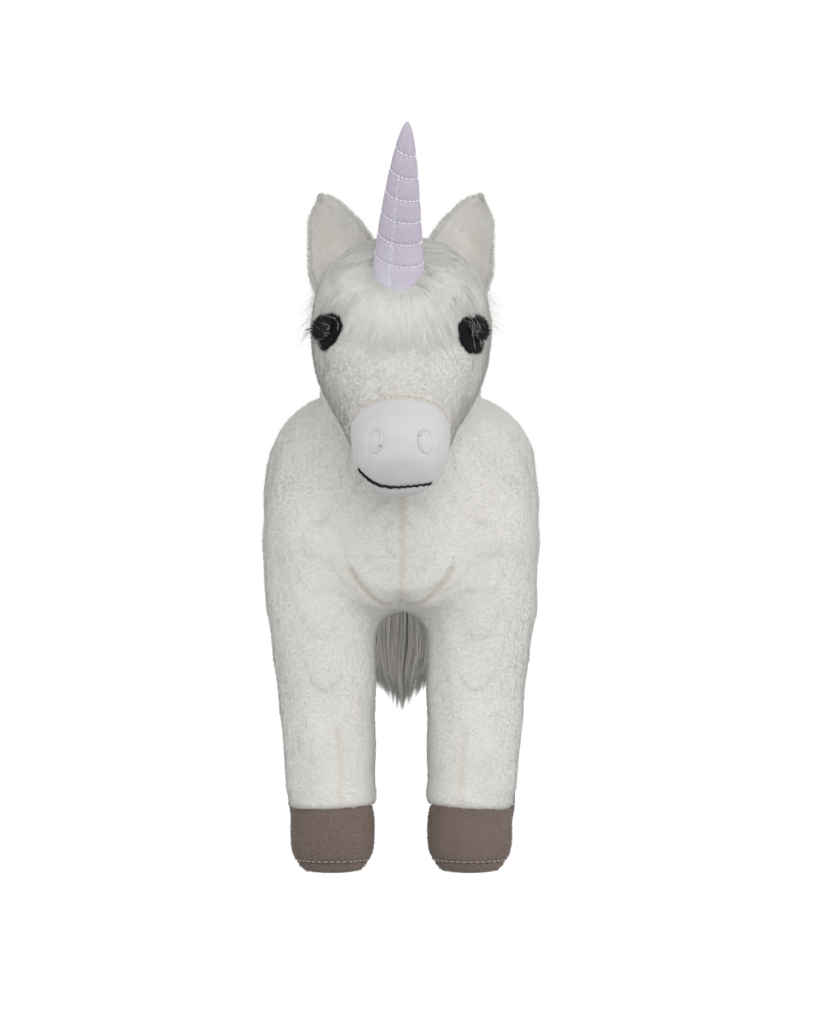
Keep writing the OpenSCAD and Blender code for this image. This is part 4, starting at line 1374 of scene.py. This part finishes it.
def make_ears(tree):
    for side, sign in SIDES:
        back = ear_sheet(f"ear_plush_{side}", sign, 0, EAR_THICK, -EAR_ROOT, 0.0, PLUSH, tree)
        finish_ear(back, f"ear_back_{side}")
        lining = ear_sheet(
            f"ear_inside_{side}", sign, -0.9 * MM, 0.8 * MM, -EAR_ROOT + 0.05, 0.10, EAR_LINING, tree
        )
        # painted shade: a beige spot in the hollow of the ear's cup, drawn with the seam tint
        co = coordinates(lining.data)
        out, fold = ear_ways(sign)
        spot = HINGES[f"ear_{side}"] + out * EAR_H * 0.30 + fold * 4 * MM
        away = np.linalg.norm((co - spot) * [1, 0, 1] / [5 * MM, 1, 9 * MM], axis=1)
        mark_seam_and_painted_light(lining.data, 0.42 * bell(away, 1))
        finish_ear(lining, f"ear_lining_{side}")
        make_ear_pile(back, lining, side, sign)


def finish_ear(obj, node=None):
    bend_with_ear(obj)
    if node:
        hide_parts(node)


def make_ear_pile(sheet, lining, side, sign):
    """Pile over the ear's back and rim, standing out along its edge, and a short nap on its lining."""
    out, fold = ear_ways(sign)
    points, normals = surface_points(sheet.data, 9)
    inside, inside_normals = surface_points(lining.data, 4)
    ahead = inside_normals[:, 1] < -0.3
    size = np.concatenate([np.full(len(points), 3.2 * MM), np.full(ahead.sum(), 1.6 * MM)])
    points = np.concatenate([points, inside[ahead]])
    normals = np.concatenate([normals, inside_normals[ahead]])
    local = points - HINGES[f"ear_{side}"]
    t = local @ out / EAR_H
    outer, inner = ear_edges(t)
    q = (2 * (local @ fold) - outer - inner) / np.maximum(inner - outer, MM)
    keep = t > EAR_SHOWN - 0.1
    groom = unit(out * (0.4 + t[:, None]) + fold * q[:, None] * 0.9)
    fur = pile(
        f"ear_pile_{side}", points[keep], normals[keep], groom[keep], size[keep], 0.22 * MM, 0.55, FUR, 0.4
    )
    finish_ear(fur)


# ---------------------------------------------------------------- hooves
HOOF_TOP = CUFF_Z + 6 * MM
HOOF_R = (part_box("front_hoof_left")[1].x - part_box("front_hoof_left")[0].x) / 2
HOOF_EDGE = 20 * MM
SOLE_R = 11 * MM
SEAM_TURN = math.radians(50)


def hoof_profile(turn):
    """Radius and height on the rounded edge, turn running from the sole to the side."""
    return SOLE_R + (HOOF_R - SOLE_R) * np.sin(turn), HOOF_EDGE * (1 - np.cos(turn))


def lathe(name, place, radius, height, material, seed, soft_part=0.5 * MM):
    """A turned solid with a slightly uneven side."""
    cols = 96
    turn = np.arange(cols) * 2 * math.pi / cols
    draw = np.random.default_rng(seed)
    wave = 0
    for k in range(2, 9):
        up_side = np.cos(draw.uniform(0, 6.28) + height * draw.uniform(40, 160))
        wave = wave + np.outer(up_side, np.cos(k * turn + draw.uniform(0, 6.28)))
    uneven = soft_part * (wave / 4) * ramp(height, 6 * MM)[:, None]
    rings = np.stack([
        place[0] + (radius[:, None] + uneven) * np.cos(turn),
        place[1] + (radius[:, None] + uneven) * np.sin(turn),
        np.repeat(height[:, None], cols, 1)
    ], 2)
    rows = len(radius)
    faces = ring_faces(rows, cols)
    faces.append(tuple(range(cols))[::-1])
    faces.append(tuple(range((rows - 1) * cols, rows * cols)))
    return new_object(name, mesh_from(name, rings.reshape(-1, 3), faces), material)


def make_hoof_fibres(part, name, per_face):
    """The short nap of a hoof, brushed down and a little aside."""
    points, normals = surface_points(part.data, per_face)
    keep = (points[:, 2] < CUFF_Z) & (points[:, 2] > 1.5 * MM)
    points, normals = points[keep], normals[keep]
    groom = np.tile([0.45, 0, -1.0], (len(points), 1))
    nap = pile(name, points, normals, groom, 2.2 * MM, 0.30 * MM, 0.6, HOOF_NAP, 0.45)
    finish_piece(nap, "root", "hoof_nap")


def make_hooves():
    for number, (leg, end, side) in enumerate(LEGS):
        place = FOOT[leg]
        edge_r, edge_z = hoof_profile(np.linspace(SEAM_TURN, math.pi / 2, 12))
        pull = 0.8 * MM * bell(edge_z - edge_z[0], 2 * MM)
        side_z = np.linspace(HOOF_EDGE + MM, HOOF_TOP, 30)
        up_side = (side_z - HOOF_EDGE) / (HOOF_TOP - HOOF_EDGE)
        side_r = HOOF_R + 0.3 * MM * np.sin(up_side * math.pi) - 3.4 * MM * up_side ** 3
        radius = np.concatenate([edge_r - pull, side_r])
        height = np.concatenate([edge_z, side_z])
        hoof = lathe(f"{end}_hoof_nap_{side}", place, radius, height, HOOF, 40 + number)
        make_hoof_fibres(hoof, f"{end}_hoof_fibres_{side}", 7)
        finish_piece(hoof, "root", "hoof_nap", f"{end}_hoof_{side}", fill=0.95)
        sole_r, sole_z = hoof_profile(np.linspace(0, SEAM_TURN, 14))
        pull = 0.8 * MM * bell(sole_z - sole_z[-1], 1.5 * MM)
        flat = np.linspace(0.3, 1, 6)[:-1] * SOLE_R
        radius = np.concatenate([flat, sole_r - pull])
        height = np.concatenate([np.zeros(len(flat)), sole_z])
        sole = lathe(f"{end}_sole_nap_{side}", place, radius, height, SOLE, 50 + number, 0.2 * MM)
        make_hoof_fibres(sole, f"{end}_sole_fibres_{side}", 4)
        finish_piece(sole, "root", "sole_cloth", f"{end}_sole_{side}", f"{end}_sole_board_{side}")
    make_hoof_stitches()


def make_hoof_stitches():
    turn = np.linspace(0, 2 * math.pi, 200)
    radius, height = hoof_profile(SEAM_TURN + 0.06)
    out = np.stack([np.cos(turn), np.sin(turn), np.full(len(turn), -0.5)], 1)
    ring = np.stack([radius * np.cos(turn), radius * np.sin(turn), np.full(len(turn), height)], 1)
    pieces = []
    for leg, _, _ in LEGS:
        line = FOOT[leg] + ring + out * 0.3 * MM
        pieces.append(
            stitches(f"sole_stitches_{leg}", line, unit(out), 3.8 * MM, 0.5 * MM, 0.72, HOOF_THREAD, 0.5)
        )
    for piece in pieces:
        finish_piece(piece, "root", "hoof_thread")
    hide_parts("hoof_stitching")


# ---------------------------------------------------------------- long hair
def comb_over(tree, roots, ways, lengths, steps, lift, turn_way, turn_amount):
    """Strands that leave their roots and run over a surface at a height, turning slowly towards turn_way."""
    count = len(roots)
    paths = np.empty((count, steps, 3))
    outs = np.empty((count, steps, 3))
    paths[:, 0] = roots
    way = unit(ways)
    here = roots.copy()
    for step in range(1, steps):
        share = step / (steps - 1)
        here = here + way * (lengths / (steps - 1))[:, None]
        foot, out = nearest(tree, here)
        high = lift * math.sin(min(1, share * 1.6) * math.pi / 2) * (1 - 0.9 * share)
        here = foot + out * high[:, None]
        paths[:, step] = here
        outs[:, step] = out
        way = way + (turn_way - way) * turn_amount
        way = unit(way - (way * out).sum(1, keepdims=True) * out * 0.9)
    outs[:, 0] = outs[:, 1]
    return paths, outs


def clumped(paths, size, pull):
    """Draws the ends of neighbouring strands together into locks."""
    roots = paths[:, 0]
    cell = np.floor(roots / size).astype(int)
    _, lock = np.unique(cell, axis=0, return_inverse=True)
    lock = lock.ravel()
    count = np.bincount(lock)
    means = np.stack([
        np.stack([np.bincount(lock, paths[:, s, k]) / count for k in range(3)], 1)
        for s in range(paths.shape[1])
    ], 1)
    amount = pull * np.linspace(0, 1, paths.shape[1])[None, :, None] ** 1.2
    return paths + (means[lock] - paths) * amount


def hair_piece(name, paths, width, body, normals=None):
    count, steps, _ = paths.shape
    taper = np.interp(np.linspace(0, 1, steps), [0, 0.6, 1], [1, 0.85, 0.15])
    widths = width * taper[None] * rng.uniform(0.7, 1.2, count)[:, None]
    tone = np.clip(0.55 + 0.3 * wavy(paths[:, 0], 0.0012)[:, 0] + 0.15 * rng.normal(size=count), 0, 1)
    piece = strands(name, paths, widths, tone, HAIR, normals=normals)
    return finish_piece(piece, body, "long_pile")


def off_patches(paths, normals):
    """Keeps the strands that stay clear of the eyes."""
    keep = np.ones(len(paths), bool)
    for side, sign in SIDES:
        reach = patch_reach(paths.reshape(-1, 3), side, sign).reshape(paths.shape[:2])
        near = np.linalg.norm(paths - EYE[side], axis=2) < 2 * PATCH_HALF[0]
        keep &= ~((reach < 1.02) & near).any(1)
    return paths[keep], normals[keep]


def make_forelock(tree):
    """Hair that falls from the foot of the horn over the forehead and sweeps out below the ears."""
    count = 7600
    angle = rng.uniform(-1, 1, count) * math.radians(112)
    ring = HORN_R * rng.uniform(0.80, 1.6, count)
    side = np.sin(angle)
    start = HORN_BASE + times(side * ring, X) + times(np.cos(angle) * ring, FACE)
    roots, _ = nearest(tree, start)
    foot = rng.random(count) < 0.25
    climb = HORN_FOOT * np.clip(np.abs(angle) / math.radians(75), 0, 1) * rng.random(count)
    roots[foot] = horn_point(climb, math.radians(270) + angle, 0.3 * MM)[foot]
    spread = np.clip(np.abs(angle) / math.radians(70), 0, 1)
    way = times(np.cos(angle) + 0.25, FACE) + times(side * 1.2, X)
    lengths = (46 - 8 * spread) * MM * rng.uniform(0.25, 1.08, count)
    turn = unit(FACE + times(np.sign(side) * (0.10 + 1.5 * spread), X))
    lift = (2.0 + 1.6 * spread) * MM * rng.uniform(0.3, 1.1, count)
    way = way + 0.12 * rng.normal(size=(count, 3))
    paths, normals = comb_over(tree, roots, way, lengths, 8, lift, turn, 0.16)
    paths, normals = off_patches(clumped(paths, 3.2 * MM, 0.35), normals)
    locks = hair_piece("forelock_hair", paths, 0.14 * MM, "root", normals)
    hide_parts("forelock")


def make_crown(tree):
    """Hair over the top of the head and out to its sides below the ears."""
    count = 4200
    x = rng.uniform(-0.050, 0.050, count)
    along = rng.uniform(-0.045, 0.018, count)
    start = np.array([on_face(a, 0.045, v) for a, v in zip(along, x)])
    roots, _ = nearest(tree, start)
    sweep = unit(times(np.sign(x), X) * 1.0 + np.array([0, -0.25, -0.45]))
    way = sweep + 0.3 * wavy(roots, 0.02) + 0.15 * rng.normal(size=(count, 3))
    lengths = rng.uniform(18, 32, count) * MM
    lift = rng.uniform(1.5, 4.0, count) * MM
    turn = unit(times(np.sign(x) * 0.5, X) + np.array([0, -0.1, -1.0]))
    paths, normals = comb_over(tree, roots, way, lengths, 7, lift, turn, 0.22)
    paths, normals = off_patches(clumped(paths, 3.5 * MM, 0.35), normals)
    hair_piece("crown_hair", paths, 0.14 * MM, "root", normals)


def make_wisps(tree):
    """Loose hairs that stand out beside the head below the ears."""
    count = 260
    sign = np.where(rng.random(count) < 0.6, -1, 1)
    start = SKULL + np.stack([
        sign * 0.050, rng.uniform(-0.02, 0.03, count), rng.uniform(-0.006, 0.036, count)
    ], 1)
    roots, _ = nearest(tree, start)
    way = np.stack([
        sign * rng.uniform(0.5, 1.1, count), rng.uniform(-0.4, 0.4, count), rng.uniform(-1.0, 0.25, count)
    ], 1)
    t = np.linspace(0, 1, 6)[None, :, None]
    length = rng.uniform(5, 12, count)[:, None, None] * MM
    drop = np.array([0, 0, -1.0]) * t ** 2 * length * 0.5
    paths = roots[:, None] + unit(way)[:, None] * t * length + drop
    hair_piece("cheek_wisps", paths, 0.12 * MM, "root")


def make_mane(head_tree, body_tree):
    """Hair from the crest of the neck that falls to both sides."""
    count = 5200
    low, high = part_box("mane")
    share = rng.random(count)
    y = low.y + (high.y - low.y) * share
    x = rng.normal(0, 0.009, count)
    roots = []
    for px, py in zip(x, y):
        start = np.array([px, py, high.z + 0.1])
        on_head, on_body = cast(head_tree, start, -UP), cast(body_tree, start, -UP)
        hits = [p for p in (on_head, on_body) if p is not None]
        roots.append(max(hits, key=lambda p: p[2]) if hits else np.array([px, py, low.z]))
    roots = np.array(roots)
    sign = np.where(x + rng.normal(0, 0.004, count) > 0, 1, -1)
    way = np.stack([sign * 1.0, rng.normal(0.25, 0.2, count), rng.normal(0.1, 0.15, count)], 1)
    lengths = rng.uniform(26, 46, count) * MM
    lift = rng.uniform(1.5, 5.5, count) * MM
    turn = unit(np.stack([sign * 0.25, np.full(count, 0.35), np.full(count, -1.0)], 1))
    bm = bmesh.new()
    for tree_mesh in (bpy.data.objects["head_plush"].data, bpy.data.objects["body_plush"].data):
        bm.from_mesh(tree_mesh)
    both = BVHTree.FromBMesh(bm)
    bm.free()
    paths, normals = comb_over(both, roots, way, lengths, 8, lift, turn, 0.25)
    locks = hair_piece("mane_hair", clumped(paths, 4 * MM, 0.4), 0.17 * MM, "root", normals)
    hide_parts("mane")


TAIL_CORE_SHARE = 0.86       # the tail's solid heart is this share of its length
TAIL_LOCKS = 34


def tail_envelope():
    """Middle and half sizes of the tail at each of its heights."""
    points = cad_points("tail_hair")
    heights = np.unique(np.round(points[:, 2], 5))
    rows = []
    for z in heights:
        ring = points[np.abs(points[:, 2] - z) < 1e-4]
        if len(ring) >= 12:
            rows.append((z, ring[:, 1].mean(), np.ptp(ring[:, 0]) / 2, np.ptp(ring[:, 1]) / 2))
    return np.array(sorted(rows))


def make_tail():
    rows = tail_envelope()
    count, steps = 3600, 9
    angle = rng.uniform(0, 2 * math.pi, count)
    depth = rng.uniform(0.45, 1.0, count) ** 0.6
    top = HINGES["tail"][2] - 2 * MM - rng.uniform(0, 0.02, count)
    end = rows[0, 0] - 0.001 + 0.020 * np.abs(np.cos(angle)) ** 1.5 * depth + 0.010 * rng.random(count) ** 2
    lock_ends = 0.012 * rng.random(TAIL_LOCKS + 1)
    end += lock_ends[np.floor(angle / (2 * math.pi) * TAIL_LOCKS).astype(int)]
    t = np.linspace(0, 1, steps)
    z = top[:, None] + (end - top)[:, None] * t[None]
    middle_y = np.interp(z, rows[:, 0], rows[:, 1])
    half_x = np.interp(np.maximum(z, rows[0, 0] + 0.024), rows[:, 0], rows[:, 2])
    half_y = np.interp(z, rows[:, 0], rows[:, 3])
    near_end = np.clip((z - end[:, None]) / 0.03, 0, 1)
    swing = 0.0012 * np.sin(z * 90 + angle[:, None] * 3)
    x = depth[:, None] * half_x * np.cos(angle)[:, None] * (1.0 + 0.10 * near_end) + swing
    y = middle_y + depth[:, None] * half_y * np.sin(angle)[:, None] * (0.85 + 0.15 * near_end)
    start = np.clip((HINGES["tail"][2] - z) / 0.02, 0, 1)
    y = y * start + (1 - start) * (HINGES["tail"][1] + 0.006 + 0.004 * np.sin(angle)[:, None])
    x = x * (0.3 + 0.7 * start)
    paths = clumped(np.stack([x, y, z], 2), 2.5 * MM, 0.30)
    hair_piece("tail_strands", paths, 0.30 * MM, "tail")
    # the core inside the strands carries the tail's painted shade
    core = cad_union("tail_core", ["tail_hair"], 3 * MM)
    smooth(core.data, 6)
    co = coordinates(core.data) - vertex_normals(core.data) * 3.5 * MM
    co[:, 2] = co[:, 2].max() + (co[:, 2] - co[:, 2].max()) * TAIL_CORE_SHARE
    set_coordinates(core.data, co)
    dress(core.data, SHADED_TAIL_CORE)
    finish_piece(core, "tail", "long_pile", "tail_hair", fill=0.7)
    make_tail_root()


def make_tail_root():
    """The rolled root of the tail in plush, with its own pile."""
    root = cad_union("tail_root_plush", ["tail_root"], 1.6 * MM)
    smooth(root.data, 8)
    dress(root.data, PLUSH)
    finish_piece(root, "tail", "white_plush", "tail_root", fill=0.9)
    points, normals = surface_points(root.data, 3)
    keep = points[:, 2] > HINGES["tail"][2] - 0.010
    points, normals = points[keep], normals[keep]
    groom = np.tile([0, 0.5, -1.0], (len(points), 1))
    fur = pile("tail_root_pile", points, normals, groom, 3.0 * MM, 0.25 * MM, 0.6, FUR)
    finish_piece(fur, "tail", "white_plush")


# ---------------------------------------------------------------- run
make_camera()
make_stage()
make_lights()
body = make_body()
make_body_pile(body)
head, muzzle = make_head()
make_head_pile(head)
make_muzzle_trim(finish_muzzle(muzzle))
make_muzzle_stitches(head)
make_eyes(head)
head_tree, body_tree = tree_of(head.data), tree_of(body.data)
make_lash(head_tree)
make_horn()
make_ears(head_tree)
make_hooves()
make_forelock(head_tree)
make_crown(head_tree)
make_wisps(head_tree)
make_mane(head_tree, body_tree)
make_tail()

for washer_side, _ in SIDES:
    paint(frame["nodes"][f"eye_washer_{washer_side}"].data, WHITE_THREAD)
